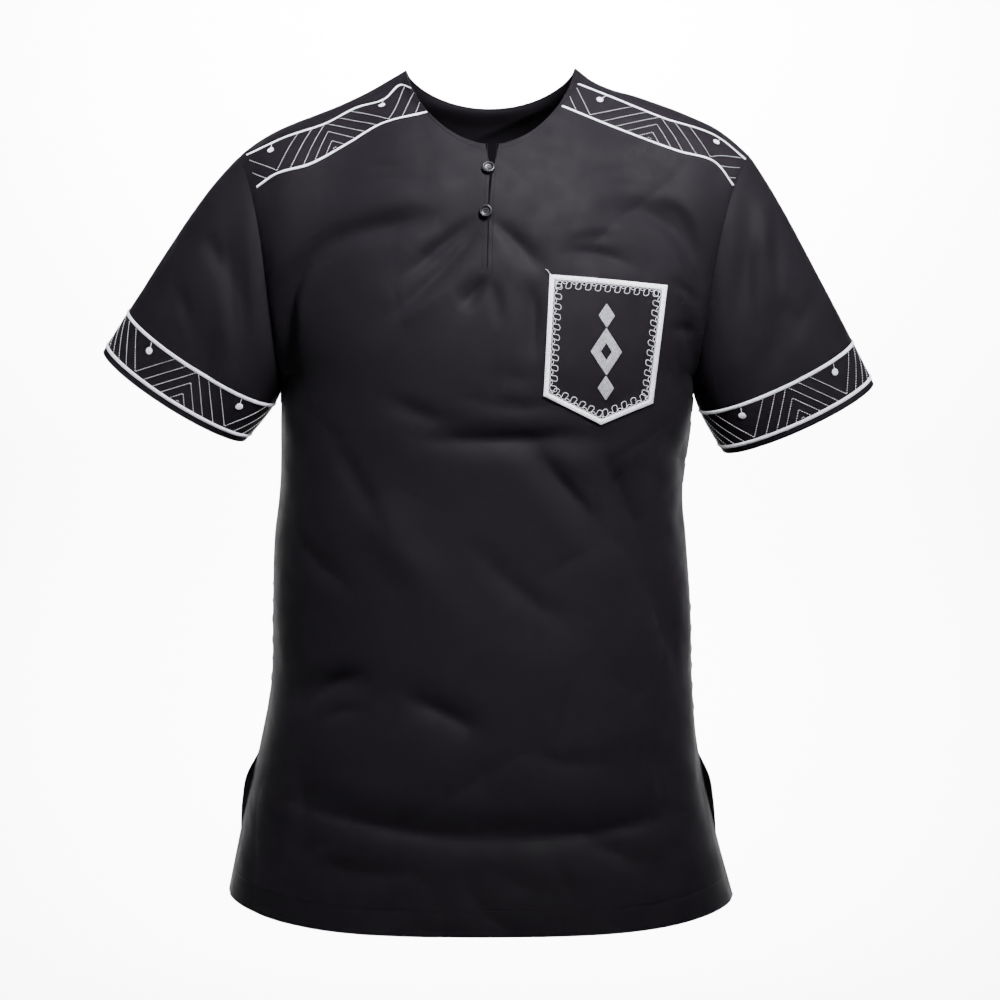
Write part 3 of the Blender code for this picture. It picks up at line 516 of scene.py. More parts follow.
def sleeve_point(hand, side, height, along):
    """Point of a sleeve, with along 0 at the armhole and 1 at the sleeve's end."""
    start = armhole_point(hand, side, height)
    cuff = CUFF[hand]
    outer = np.array((cuff.outer_x, 0.0, cuff.outer_z))
    inner = np.array((cuff.inner_x, 0.0, cuff.inner_z))
    round_share = math.sin(math.pi * height)
    climb = (1 - math.cos(math.pi * height)) / 2
    across = (outer - inner) / np.linalg.norm(outer - inner)
    down_arm = np.array((across[2], 0.0, -across[0])) * hand
    down_arm *= -math.copysign(1.0, down_arm[2])
    dip = cuff.dip if side == FRONT else CUFF_BACK_DIP
    end = inner + (outer - inner) * climb + down_arm * dip * round_share
    end[1] = side * CUFF_DEPTH * round_share
    point = start + (end - start) * along
    swell = SLEEVE_SWELL_UNDER + (cuff.swell - SLEEVE_SWELL_UNDER) * climb
    outward = across * -math.cos(math.pi * height) + np.array((0.0, side, 0.0)) * round_share
    return point + outward * swell * math.sin(math.pi * along**SLEEVE_SWELL_PLACE)


def panel_columns(side):
    """Places of a panel's columns, from -1 at the left side seam to 1 at the right one."""
    shoulder = np.linspace(NECK_SHARE, 1, SHOULDER_COLUMNS + 1)
    neck = np.linspace(-NECK_SHARE, NECK_SHARE, NECK_COLUMNS[side] + 1)
    return np.concatenate((-shoulder[:0:-1], neck, shoulder[1:]))


def panel_rows():
    """Places of a panel's rows: from -2 at the hem, 0 at the underarm, to 1 at the top edge."""
    skirt = -np.linspace(2, 1, SKIRT_ROWS + 1)
    trunk = -np.linspace(1, 0, TRUNK_ROWS + 1)
    low = np.linspace(0, SLIT_END_SHARE, ROWS_BELOW_SLIT + 1)
    high = np.linspace(SLIT_END_SHARE, 1, ROWS_BESIDE_SLIT + 1)
    return np.concatenate((skirt, trunk[1:], low[1:], high[1:]))


ROWS = panel_rows()
UNDERARM_ROW = SKIRT_ROWS + TRUNK_ROWS
SLIT_ROW = UNDERARM_ROW + ROWS_BELOW_SLIT


def coarse_panel(side):
    """The panel's plain form on the grid that its solid has."""
    columns = panel_columns(side)
    points = np.array([
        [
            upper_point(side, across, row) if row > 0 else lower_point(side, across, -row)
            for row in ROWS
        ]
        for across in columns
    ])
    for _ in range(SMOOTHING_ROUNDS):
        points[1:-1, :-1] = (points[:-2, :-1] + 2 * points[1:-1, :-1] + points[2:, :-1]) / 4
    if side == FRONT:
        middle = len(columns) // 2
        for j in range(UNDERARM_ROW, len(ROWS)):
            shift = (slit_at(points[middle, j, 2])[0] - points[middle, j, 0]) * ROWS[j] ** 0.5
            points[:, j, 0] += shift * (1 - fade(np.abs(columns), 0.0, NECK_SHARE))
    return points


def refine(points, steps, corners=(), closed=False):
    """A finer grid on smooth curves through every point of the first axis.

    The curves keep a corner at the listed places, and run round where they are closed.
    """
    if corners:
        ends = [0, *corners, len(points) - 1]
        parts = [refine(points[a:b + 1], steps) for a, b in zip(ends, ends[1:])]
        return np.concatenate([parts[0], *[part[1:] for part in parts[1:]]])
    if closed:
        padded = np.concatenate((points[-1:], points, points[:2]))
    else:
        lead, trail = 2 * points[:1] - points[1:2], 2 * points[-1:] - points[-2:-1]
        padded = np.concatenate((lead, points, trail))
    before, start, end, after = (padded[k:len(padded) - 3 + k] for k in range(4))
    finer = []
    for step in range(steps):
        t = step / steps
        leave = (end - before) / 2
        arrive = (after - start) / 2
        value = start * (1 + 2 * t) * (1 - t) ** 2 + leave * t * (1 - t) ** 2
        finer.append(value + end * (3 - 2 * t) * t**2 - arrive * (1 - t) * t**2)
    joined = np.stack(finer, axis=1).reshape(-1, *points.shape[1:])
    return joined if closed else np.concatenate((joined, points[-1:]))


def spread(values, steps):
    """The places of a coarse line at the finer steps."""
    places = np.linspace(0, len(values) - 1, (len(values) - 1) * steps + 1)
    return np.interp(places, np.arange(len(values)), values)


def fine_panel(side):
    """A panel's plain form on a fine grid, with its places across and up."""
    points = coarse_panel(side)
    neck_columns = (SHOULDER_COLUMNS, len(points) - 1 - SHOULDER_COLUMNS)
    top = points.shape[1] - 1
    near_top = fade(np.arange(top + 1), top - 3, top)[None, :, None]
    smooth = refine(points, FINER)
    points = smooth + (refine(points, FINER, neck_columns) - smooth) * near_top
    across = spread(panel_columns(side), FINER)
    near_side = fade(np.abs(across), 0.8, 1.0)[None, :, None]
    rows_first = points.swapaxes(0, 1)
    smooth = refine(rows_first, FINER)
    cornered = refine(rows_first, FINER, (SKIRT_ROWS, UNDERARM_ROW))
    points = (smooth + (cornered - smooth) * near_side).swapaxes(0, 1)
    return points, across, spread(ROWS, FINER)


def grid_normals(points, outward, closed=False):
    """Unit normals of a grid of points, turned to the side that outward names."""
    if closed:
        wrapped = np.concatenate((points[-1:], points, points[:1]))
        way = np.concatenate((outward[-1:], outward, outward[:1]))
        return grid_normals(wrapped, way)[1:-1]
    normals = np.cross(np.gradient(points, axis=0), np.gradient(points, axis=1))
    normals /= np.linalg.norm(normals, axis=2, keepdims=True)
    return normals * np.sign(np.sum(normals * outward, axis=2, keepdims=True))


def fold_field(folds, points):
    """Height of the folds at every point of a grid, seen from the front."""
    total = np.zeros(points.shape[:2])
    t = np.linspace(0, 1, FOLD_SAMPLES)
    for row in folds:
        x0, z0, x1, z1, x2, z2, width, height = (value / 1000 for value in row)
        reach = 3 * width
        xs = (x0, x1, x2)
        zs = (z0, z1, z2)
        inside = (points[..., 0] > min(xs) - reach) & (points[..., 0] < max(xs) + reach)
        inside &= (points[..., 2] > min(zs) - reach) & (points[..., 2] < max(zs) + reach)
        near = points[inside]
        path_x = x0 * (1 - t) ** 2 + 2 * x1 * t * (1 - t) + x2 * t**2
        path_z = z0 * (1 - t) ** 2 + 2 * z1 * t * (1 - t) + z2 * t**2
        best = np.full(len(near), 1e9)
        place = np.zeros(len(near))
        for k in range(FOLD_SAMPLES - 1):
            run = np.array((path_x[k + 1] - path_x[k], path_z[k + 1] - path_z[k]))
            rel = np.stack((near[:, 0] - path_x[k], near[:, 2] - path_z[k]), axis=1)
            share = np.clip(rel @ run / (run @ run), 0, 1)
            away = np.hypot(rel[:, 0] - run[0] * share, rel[:, 1] - run[1] * share)
            closer = away < best
            best[closer] = away[closer]
            place[closer] = ((k + share) / (FOLD_SAMPLES - 1))[closer]
        taper = np.sin(math.pi * (0.08 + 0.84 * place))
        total[inside] += height * taper * np.exp(-((best / width) ** 2))
    return total


def lattice_noise(across, down, spacing_across, spacing_down, seed):
    """Smooth noise between -1 and 1 over two length coordinates."""
    values = np.random.default_rng(seed).uniform(-1, 1, (LATTICE, LATTICE))
    u = across / spacing_across + 20
    v = down / spacing_down + 40
    i = np.floor(u).astype(int)
    j = np.floor(v).astype(int)
    fu = fade(u - i, 0, 1)
    fv = fade(v - j, 0, 1)
    i, j, i_next, j_next = i % LATTICE, j % LATTICE, (i + 1) % LATTICE, (j + 1) % LATTICE
    low = values[i, j] * (1 - fu) + values[i_next, j] * fu
    high = values[i, j_next] * (1 - fu) + values[i_next, j_next] * fu
    return low * (1 - fv) + high * fv


def undulation(across, down, shift):
    """Loose swells of the cloth over its length coordinates."""
    total = np.zeros(across.shape)
    for row in SWELLS:
        total += row.height * lattice_noise(across, down, row.across, row.down, row.seed + shift)
    for row in CRUMPLES:
        along = across * math.cos(row.turn) + down * math.sin(row.turn)
        beside = down * math.cos(row.turn) - across * math.sin(row.turn)
        line = lattice_noise(along, beside, row.across, row.down, row.seed + shift)
        patch = lattice_noise(across, down, CRUMPLE_PATCH, CRUMPLE_PATCH, row.seed + shift + 7)
        total -= row.depth * fade(patch, *CRUMPLE_FADE) * (1 - np.abs(line)) ** CRUMPLE_SHARPNESS
    return total


def lengths_along(points, axis):
    """Length coordinate of each point along one axis of a grid."""
    steps = np.linalg.norm(np.diff(points, axis=axis), axis=2)
    total = np.cumsum(steps, axis=axis)
    zero = np.zeros((1, points.shape[1]) if axis == 0 else (points.shape[0], 1))
    return np.concatenate((zero, total), axis=axis)


def flat_uv(points, middle_column=0):
    """Across and down lengths of each point, in metres, measured on the cloth."""
    across = lengths_along(points, 0)
    return np.stack((across - across[middle_column], lengths_along(points, 1)), axis=-1)


def raise_beside(away, rise):
    """Height of cloth that rolls up beside a sewn edge."""
    return rise * (1 - np.exp(-((away / SEAM_ROLL) ** 2)))


def pucker(away, run, shift):
    """Small ripples along a sewn edge, dying away from it."""
    wobble = lattice_noise(run, away, PUCKER_LENGTH * 1.7, PUCKER_REACH * 2, 51 + shift)
    strength = fade(lattice_noise(run, 0 * away, PUCKER_LENGTH * 4, 1.0, 91 + shift), -0.5, 0.9)
    wave = np.sin(math.tau * run / PUCKER_LENGTH + 3 * wobble) * strength
    return wave * np.exp(-away / PUCKER_REACH) * raise_beside(away, PUCKER_HEIGHT)


def dress_panel(side, folds, swell):
    """Outer points of a panel as worn, its normals and its flat lengths."""
    points, across, rows = fine_panel(side)
    middle = len(points) // 2
    uv = flat_uv(points, middle)
    normals = grid_normals(points, np.array((0.0, side, 0.2)))
    inside = fade(1 - np.abs(across), 0.0, FOLD_EDGE_FADE)[:, None]
    inside = inside * fade(1 - rows, 0.0, FOLD_EDGE_FADE)[None, :]
    below = fade(-rows, 1.2, 2.0)[None, :]
    loose = undulation(uv[..., 0], uv[..., 1], 100 + side) * swell * (1 + HEM_LOOSENESS * below)
    from_left = lengths_along(points, 0)
    from_right = from_left[-1:] - from_left
    from_top = lengths_along(points, 1)[:, -1:] - lengths_along(points, 1)
    to_side = np.minimum(from_left, from_right)
    sewn_side = np.where(rows > -1, to_side, 1.0)
    sewn_top = np.where(np.abs(across)[:, None] >= NECK_SHARE, from_top, 1.0)
    lift = (fold_field(folds, points) + loose) * inside
    lift += raise_beside(sewn_side, SEAM_RISE) * raise_beside(sewn_top, 1.0)
    lift += pucker(sewn_side, uv[..., 1], 3 + side) + pucker(sewn_top, uv[..., 0], 7 + side)
    points = points + normals * lift[..., None]
    return points, grid_normals(points, np.array((0.0, side, 0.2))), uv


def dress_sleeve(hand, panels, swell):
    """Outer points of a sleeve as worn, its normals and its flat lengths."""
    heights = ROWS[UNDERARM_ROW:]
    around = [(FRONT, height) for height in heights]
    around += [(BACK, height) for height in heights[-2:0:-1]]
    steps = np.linspace(0, 1, SLEEVE_ROWS + 1)
    coarse = np.array([[sleeve_point(hand, *place, step) for step in steps] for place in around])
    points = refine(refine(coarse, FINER, closed=True).swapaxes(0, 1), SLEEVE_FINER).swapaxes(0, 1)
    half = len(points) // 2
    column = 0 if hand == LEFT else -1
    edge = [panels[side][0][column, UNDERARM_ROW * FINER:] for side in (FRONT, BACK)]
    ring = np.concatenate((edge[0], edge[1][-2:0:-1]))
    along = spread(steps, SLEEVE_FINER)
    nearness = 1 - fade(along, 0.0, 2 / SLEEVE_ROWS)
    points = points + (ring - points[:, 0])[:, None] * nearness[None, :, None]
    normals = grid_normals(points, points - points.mean(axis=0), closed=True)
    fine_heights = spread(heights, FINER)
    height = np.concatenate((fine_heights, fine_heights[-2:0:-1]))
    inside = fade(along, 0.0, 2 * FOLD_EDGE_FADE)[None, :]
    inside = inside * (np.sin(math.pi * height) ** 0.5)[:, None]
    height_of_folds = np.concatenate((
        fold_field(SLEEVE_FOLDS[hand, FRONT], points[:half + 1]),
        fold_field(SLEEVE_FOLDS[hand, BACK], points[half + 1:]),
    ))
    wrapped = np.concatenate((points, points[:1]))
    uv = flat_uv(wrapped)
    uv[..., 0] *= (uv[-1, :, 0].mean() / uv[-1, :, 0])[None, :]
    turn = np.linspace(0, math.tau, len(points), endpoint=False)[:, None]
    ways = SLEEVE_RADIUS * np.cos(turn) + uv[:-1, :, 1], SLEEVE_RADIUS * np.sin(turn) + 0 * along
    loose = undulation(*ways, 300 + hand)
    lift = (height_of_folds + loose * swell) * inside
    lift += raise_beside(uv[:-1, :, 1], SEAM_RISE) + pucker(uv[:-1, :, 1], uv[:-1, :, 0], 11 + hand)
    points = points + normals * lift[..., None]
    return points, grid_normals(points, points - points.mean(axis=0), closed=True), uv


@functools.cache
def dress_shirt(swell):
    """Outer points, normals and flat lengths of the four cloth pieces, by name."""
    panels = {
        FRONT: dress_panel(FRONT, FRONT_FOLDS + FRONT_CREASES, swell),
        BACK: dress_panel(BACK, BACK_FOLDS + BACK_CREASES, swell),
    }
    return {
        "front": panels[FRONT],
        "back": panels[BACK],
        "sleeve_left": dress_sleeve(LEFT, panels, swell),
        "sleeve_right": dress_sleeve(RIGHT, panels, swell),
    }


def dressed(name):
    """Outer points, normals and flat lengths of one cloth piece."""
    return dress_shirt(bpy.context.scene.shirt_cloth.swell)[name]


def part_slit(points, uv):
    """The front's grid with its middle column doubled, and the two copies parted over the slit."""
    middle = len(points) // 2
    first_row = SLIT_ROW * FINER
    gaps = slit_at(points[middle, :, 2])[1] * (np.arange(points.shape[1]) >= first_row)
    parted = np.concatenate((points[:middle + 1], points[middle:]))
    for step in range(FINER):
        share = 1 - step / FINER
        parted[middle - step, :, 0] -= gaps * share
        parted[middle + 1 + step, :, 0] += gaps * share
    return parted, np.concatenate((uv[:middle + 1], uv[middle:])), (middle, first_row)


def new_object(name, data):
    """New object in the scene."""
    made = bpy.data.objects.new(name, data)
    bpy.context.scene.collection.objects.link(made)
    return made


def sheet_object(name, outer, inner, uv, material, closed=False, slit=None):
    """Mesh object of a cloth wall between two grids, with its rims and its UV map in metres.

    A slit is a column and a row: that column and the next one are one line of points up to the
    row, and two free edges above it.
    """
    columns, rows = outer.shape[:2]
    count = columns * rows
    index = np.arange(count).reshape(columns, rows)
    cells = np.arange(columns - 1)
    if closed:
        index = np.concatenate((index, index[:1]))
        cells = np.arange(columns)
    if slit:
        column, row = slit
        index[column + 1, :row + 1] = index[column, :row + 1]
        cells = cells[cells != column]
    corner = np.stack((index, index + count))
    spot = np.arange(index.size).reshape(index.shape)

    def strip(layers, i, j):
        """Faces through lists of layers, columns and rows, and where their UV places are."""
        return corner[layers, i, j], spot[i, j]

    i, j = (grid.ravel() for grid in np.meshgrid(cells, np.arange(rows - 1), indexing="ij"))
    ring = (np.stack((i, i + 1, i + 1, i), axis=1), np.stack((j, j, j + 1, j + 1), axis=1))
    parts = [strip(0, *ring), strip(1, ring[0][:, ::-1], ring[1][:, ::-1])]
    for row_index, turned in ((0, True), (rows - 1, False)):
        a, b = (cells + 1, cells) if turned else (cells, cells + 1)
        i = np.stack((a, b, b, a), axis=1)
        parts.append(strip(np.array((0, 0, 1, 1)), i, np.full_like(i, row_index)))
    edges = [] if closed else [(0, 0, False), (columns - 1, 0, True)]
    if slit:
        edges += [(slit[0], slit[1], True), (slit[0] + 1, slit[1], False)]
    for column, first_row, turned in edges:
        low = np.arange(first_row, rows - 1)
        a, b = (low + 1, low) if turned else (low, low + 1)
        j = np.stack((a, b, b, a), axis=1)
        parts.append(strip(np.array((0, 0, 1, 1)), np.full_like(j, column), j))
    faces = np.concatenate([part[0] for part in parts])
    places = np.concatenate([part[1] for part in parts])
    points = np.concatenate((outer.reshape(-1, 3), inner.reshape(-1, 3)))
    probe = faces[len(faces) // 4]
    first = points[probe]
    outward = points[probe[0]] - points[probe[0] + count]
    if np.dot(np.cross(first[1] - first[0], first[2] - first[1]), outward) < 0:
        faces = faces[:, ::-1]
        places = places[:, ::-1]
    used, faces = np.unique(faces, return_inverse=True)
    mesh = bpy.data.meshes.new(name)
    mesh.from_pydata(points[used].tolist(), [], faces.reshape(-1, 4).tolist())
    layer = mesh.uv_layers.new(name="cloth")
    layer.data.foreach_set("uv", uv.reshape(-1, 2)[places.ravel()].astype(np.float32).ravel())
    mesh.shade_smooth()
    mesh.set_sharp_from_angle(angle=math.radians(60))
    mesh.materials.append(material)
    return new_object(name, mesh)


def add_node(tree, kind, inputs=None, **settings):
    """New node in a tree, with its settings, and constants and links on its inputs."""
    node = tree.nodes.new(kind)
    for key, value in settings.items():
        setattr(node, key, value)
    for key, value in (inputs or {}).items():
        if isinstance(value, bpy.types.NodeSocket):
            tree.links.new(value, node.inputs[key])
        else:
            node.inputs[key].default_value = value
    return node


def plain_material(name, colour, roughness, **shading):
    """Principled material with its constants on the shader's own sockets."""
    material = bpy.data.materials.new(name)
    material.use_nodes = True
    shader = material.node_tree.nodes["Principled BSDF"]
    constants = {"Base Color": (*colour, 1.0), "Roughness": roughness, **shading}
    for key, value in constants.items():
        shader.inputs[key].default_value = value
    return material


def material_tools(material):
    """A material's shader, its links and a function that adds nodes to it."""
    tree = material.node_tree
    return tree.nodes["Principled BSDF"], tree.links, functools.partial(add_node, tree)


def cotton_material(name):
    """Plain woven cotton: fine crossing threads, slubs and a soft sheen."""
    cloth = bpy.context.scene.shirt_cloth
    roughness = cloth.roughness
    material = plain_material(name, cloth.colour, roughness, **{
        "Specular IOR Level": cloth.gloss, "Sheen Weight": cloth.sheen,
        "Sheen Roughness": 0.45, "Sheen Tint": (0.86, 0.86, 1.0, 1.0),
    })
    shader, links, add = material_tools(material)
    place = add("ShaderNodeUVMap", uv_map="cloth").outputs["UV"]
    slub_place = add("ShaderNodeMapping", {"Vector": place, "Scale": (60.0, 900.0, 1.0)})
    slub = add("ShaderNodeTexNoise", {
        "Vector": slub_place.outputs["Vector"], "Scale": 1.0, "Detail": 2.0,
    })
    threads = {
        number: add("ShaderNodeTexWave", {
            "Vector": place, "Scale": scale, "Distortion": 0.6, "Detail": 1.0,
        }, bands_direction=way).outputs["Fac"]
        for number, (scale, way) in enumerate(((420.0, "X"), (380.0, "Y")))
    }
    weave = add("ShaderNodeMath", threads, operation="MULTIPLY")
    height = add("ShaderNodeMath", {0: weave.outputs[0], 1: slub.outputs["Fac"]}, operation="ADD")
    crease = add("ShaderNodeTexNoise", {
        "Vector": place, "Scale": 16.0, "Detail": 3.0, "Distortion": 0.8,
    }, noise_type="RIDGED_MULTIFRACTAL")
    rumpled = add("ShaderNodeBump", {
        "Strength": 0.5, "Distance": 0.0011, "Height": crease.outputs["Fac"],
    })
    bump = add("ShaderNodeBump", {
        "Strength": 0.25, "Distance": 0.00008, "Height": height.outputs[0],
        "Normal": rumpled.outputs["Normal"],
    })
    mottle = add("ShaderNodeTexNoise", {"Vector": place, "Scale": 45.0, "Detail": 4.0})
    sheen_spread = add("ShaderNodeMapRange", {
        "Value": mottle.outputs["Fac"], "From Min": 0.3, "From Max": 0.7,
        "To Min": roughness - 0.05, "To Max": roughness + 0.06,
    })
    links.new(bump.outputs["Normal"], shader.inputs["Normal"])
    links.new(sheen_spread.outputs["Result"], shader.inputs["Roughness"])
    return material


def shared_material(name, make):
    """The material of that name, made on first use."""
    return bpy.data.materials.get(name) or make(name)


def sew_in(piece, node):
    """Puts a finished piece in the place of its CAD node."""
    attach(piece, "root")
    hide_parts(node)


def make_cloth(name):
    """One cut piece of cotton: its shell in place of the solid."""
    outer, normals, uv = dressed(name)
    inner = outer - normals * bpy.context.scene.shirt_cloth.thickness
    slit = None
    if name == "front":
        outer, _, _ = part_slit(outer, uv)
        inner, uv, slit = part_slit(inner, uv)
    material = shared_material("black_cotton", cotton_material)
    closed = name.startswith("sleeve")
    sew_in(sheet_object(f"{name}_cloth", outer, inner, uv, material, closed, slit), name)


def declare_sheet(name):
    """Reads the outer points and flat lengths of a cut piece, and does nothing further with them."""
    outer, _, uv = dressed(name)


def cloth_tree(points):
    """Search tree of a grid's surface."""
    columns, rows = points.shape[:2]
    first = (np.arange(columns - 1)[:, None] * rows + np.arange(rows - 1)).ravel()
    faces = np.stack((first, first + rows, first + rows + 1, first + 1), axis=1)
    return BVHTree.FromPolygons([Vector(point) for point in points.reshape(-1, 3)], faces.tolist())


def seen_from_front(tree, places, eye=None):
    """Surface points and normals behind places (x, z) on the plane through the origin.

    The rays run straight back, or from the eye where it is given. The third array tells which
    rays met the cloth; the others take the nearest cloth.
    """
    places = np.asarray(places, dtype=float)
    flat = places.reshape(-1, 2)
    points = np.zeros((len(flat), 3))
    normals = np.zeros((len(flat), 3))
    met = np.zeros(len(flat), dtype=bool)
    for k, (x, z) in enumerate(flat):
        start = Vector((x, -1.0, z)) if eye is None else Vector(eye)
        way = Vector((0.0, 1.0, 0.0)) if eye is None else (Vector((x, 0.0, z)) - start).normalized()
        point, normal, _, _ = tree.ray_cast(start, way)
        met[k] = point is not None
        if point is None:
            point, normal, _, _ = tree.find_nearest(start + way * (-start.y * 0.97))
        if normal.y > 0:
            normal = -normal
        points[k] = point
        normals[k] = normal
    shape = places.shape[:-1]
    return points.reshape(*shape, 3), normals.reshape(*shape, 3), met.reshape(shape)


class Ground:
    """Cloth under a band, found by lengths along it and above its lower border."""

    def __init__(self, points, normals, met, shares):
        even = np.linspace(GROUND_SHARES[0], GROUND_SHARES[1], GROUND_ROWS)
        rows = []
        self.widths = []
        for k in range(len(points)):
            run = run_along(points[k])
            low, high = np.interp((0.0, 1.0), shares, run)
            place = np.interp(low + even * (high - low), run, np.arange(len(run)))
            data = np.concatenate((points[k], normals[k], met[k][:, None]), axis=1)
            first = np.minimum(place.astype(int), len(run) - 2)
            rest = (place - first)[:, None]
            rows.append(data[first] * (1 - rest) + data[first + 1] * rest)
            self.widths.append(high - low)
        self.grid = np.array(rows)
        self.width = float(np.mean(self.widths))
        self.run = run_along(self.grid[:, GROUND_ROWS // 2, :3])
        self.length = float(self.run[-1])

    def at(self, along, above):
        """Points, normals and whether the cloth is there, at lengths along and above the border."""
        along, above = (place.astype(float) for place in np.broadcast_arrays(along, above))
        k = np.interp(along, self.run, np.arange(len(self.run)))
        low, high = GROUND_SHARES
        m = np.clip((above / self.width - low) / (high - low), 0, 1) * (GROUND_ROWS - 1)
        k0 = np.minimum(k.astype(int), len(self.run) - 2)
        m0 = np.minimum(m.astype(int), GROUND_ROWS - 2)
        s, t = (k - k0)[..., None], (m - m0)[..., None]
        value = self.grid[k0, m0] * (1 - s) * (1 - t) + self.grid[k0 + 1, m0] * s * (1 - t)
        value += self.grid[k0, m0 + 1] * (1 - s) * t + self.grid[k0 + 1, m0 + 1] * s * t
        inside = (along >= 0) & (along <= self.length)
        return value[..., :3], value[..., 3:6], (value[..., 6] > 0.999) & inside


Stitches = namedtuple("Stitches", "start end normal")


def even_places(length, pitch):
    """Middles of equal steps, each about as long as the pitch, along a length."""
    count = max(int(length / pitch), 1)
    return (np.arange(count) + 0.5) * length / count


def stitches_between(starts, ends, longest=math.inf):
    """Stitches from one row of places to another, where both met the cloth."""
    kept = starts[2] & ends[2]
    kept &= np.linalg.norm(starts[0] - ends[0], axis=1) < longest
    return Stitches(starts[0][kept], ends[0][kept], starts[1][kept])


def stitch_line(ground, start, end, pitch, length, wrap=False):
    """Running stitches on a straight line of the pattern, given by lengths along and above."""
    start = np.asarray(start, dtype=float)
    end = np.asarray(end, dtype=float)
    run = np.linalg.norm(end - start)
    count = max(int(run / pitch), 1)
    middle = (np.arange(count) + 0.5) / count
    half = length / run / 2
    ends = []
    for share in (middle - half, middle + half):
        place = start + (end - start) * share[:, None]
        along = place[:, 0] % ground.length if wrap else place[:, 0]
        ends.append(ground.at(along, place[:, 1]))
    return stitches_between(*ends, 2 * length)


def satin_line(ground, above, width, pitch, slant=0.3):
    """Satin stitches side by side along a border of the pattern."""
    along = np.arange(0, ground.length, pitch)
    low = ground.at(along, above - width / 2)
    high = ground.at(np.clip(along + slant * width, 0, ground.length), above + width / 2)
    return stitches_between(low, high)


def dot(ground, along, above, radius, pitch):
    """Round dot of satin stitches side by side."""
    offset = np.arange(-radius + pitch / 2, radius, pitch)
    half = np.sqrt(radius**2 - offset**2)
    low = ground.at(along + offset, above - half)
    high = ground.at(along + offset, above + half)
    return stitches_between(low, high)


def joined(parts):
    """One set of stitches from several."""
    filled = [part for part in parts if len(part.start)]
    return Stitches(*(np.concatenate(values) for values in zip(*filled)))


def chevron_band(ground, repeat, phase, border, closed=False):
    """Fine running lines of a nested chevron band, and its heavy dots and borders."""
    thread = bpy.context.scene.shirt_thread
    half = repeat / 2
    width = ground.width
    slope = width / (half * (1 - CHEVRON_STARTS[CHEVRON_APEX]))
    fine = []
    heavy = [satin_line(ground, above, border, thread.satin_pitch) for above in (0.0, width)]
    centres = [phase + repeat * n for n in range(-1, int(ground.length / repeat) + 2)]
    if closed:
        centres = [phase + repeat * n for n in range(round(ground.length / repeat))]
    for centre in centres:
        for side in (-1, 1):
            for share in CHEVRON_STARTS:
                low = CHEVRON_LIFT if share == 0 else 0.0
                reach = min((width - low) / slope, half * (1 - share))
                start = (centre + side * half * share, low)
                end = (start[0] + side * reach, low + reach * slope)
                stitch = (thread.run_pitch, thread.run_length)
                fine.append(stitch_line(ground, start, end, *stitch, closed))
        place = centre % ground.length if closed else centre
        heavy.append(dot(ground, place, width - DOT_DROP, thread.dot_radius, thread.satin_pitch))
        stem = ((place, width - DOT_DROP), (place + DOT_LEAN, width))
        fine.append(stitch_line(ground, *stem, STEM_STITCH, STEM_STITCH, closed))
    return joined(fine), joined(heavy)


def shoulder_ground(tree, band):
    """Cloth of the front under one shoulder band, whose two border lines are seen from the eye."""
    steps = np.linspace(0, 1, 90)
    shares = np.linspace(-0.25, 1.25, 30)
    lines = []
    for line in band:
        line = np.array(line)
        run = run_along(line)
        lines.append(np.array([smooth_through(run / run[-1], line, step) for step in steps]))
    places = lines[1][:, None] + (lines[0] - lines[1])[:, None] * shares[None, :, None]
    points, normals, met = seen_from_front(tree, places, EYE)
    return Ground(points, normals, met, shares)


def cuff_ground(outer, normals):
    """Cloth of a sleeve under its band, all round."""
    shares = np.linspace(-0.2, 1.2, 30)
    away = CUFF_BAND_LOW + shares * (CUFF_BAND_HIGH - CUFF_BAND_LOW)
    points = []
    turned = []
    for i in [*range(len(outer)), 0]:
        column = outer[i, ::-1]
        run = run_along(column)
        points.append(at_lengths(away, run, column))
        turned.append(at_lengths(away, run, normals[i, ::-1]))
    points = np.array(points)
    return Ground(points, np.array(turned), np.ones(points.shape[:2]), shares)


THREAD_ATTRIBUTES = (
    ("thread_way", "FLOAT_VECTOR", "vector"),
    ("surface_normal", "FLOAT_VECTOR", "vector"),
    ("thread_length", "FLOAT", "value"),
)


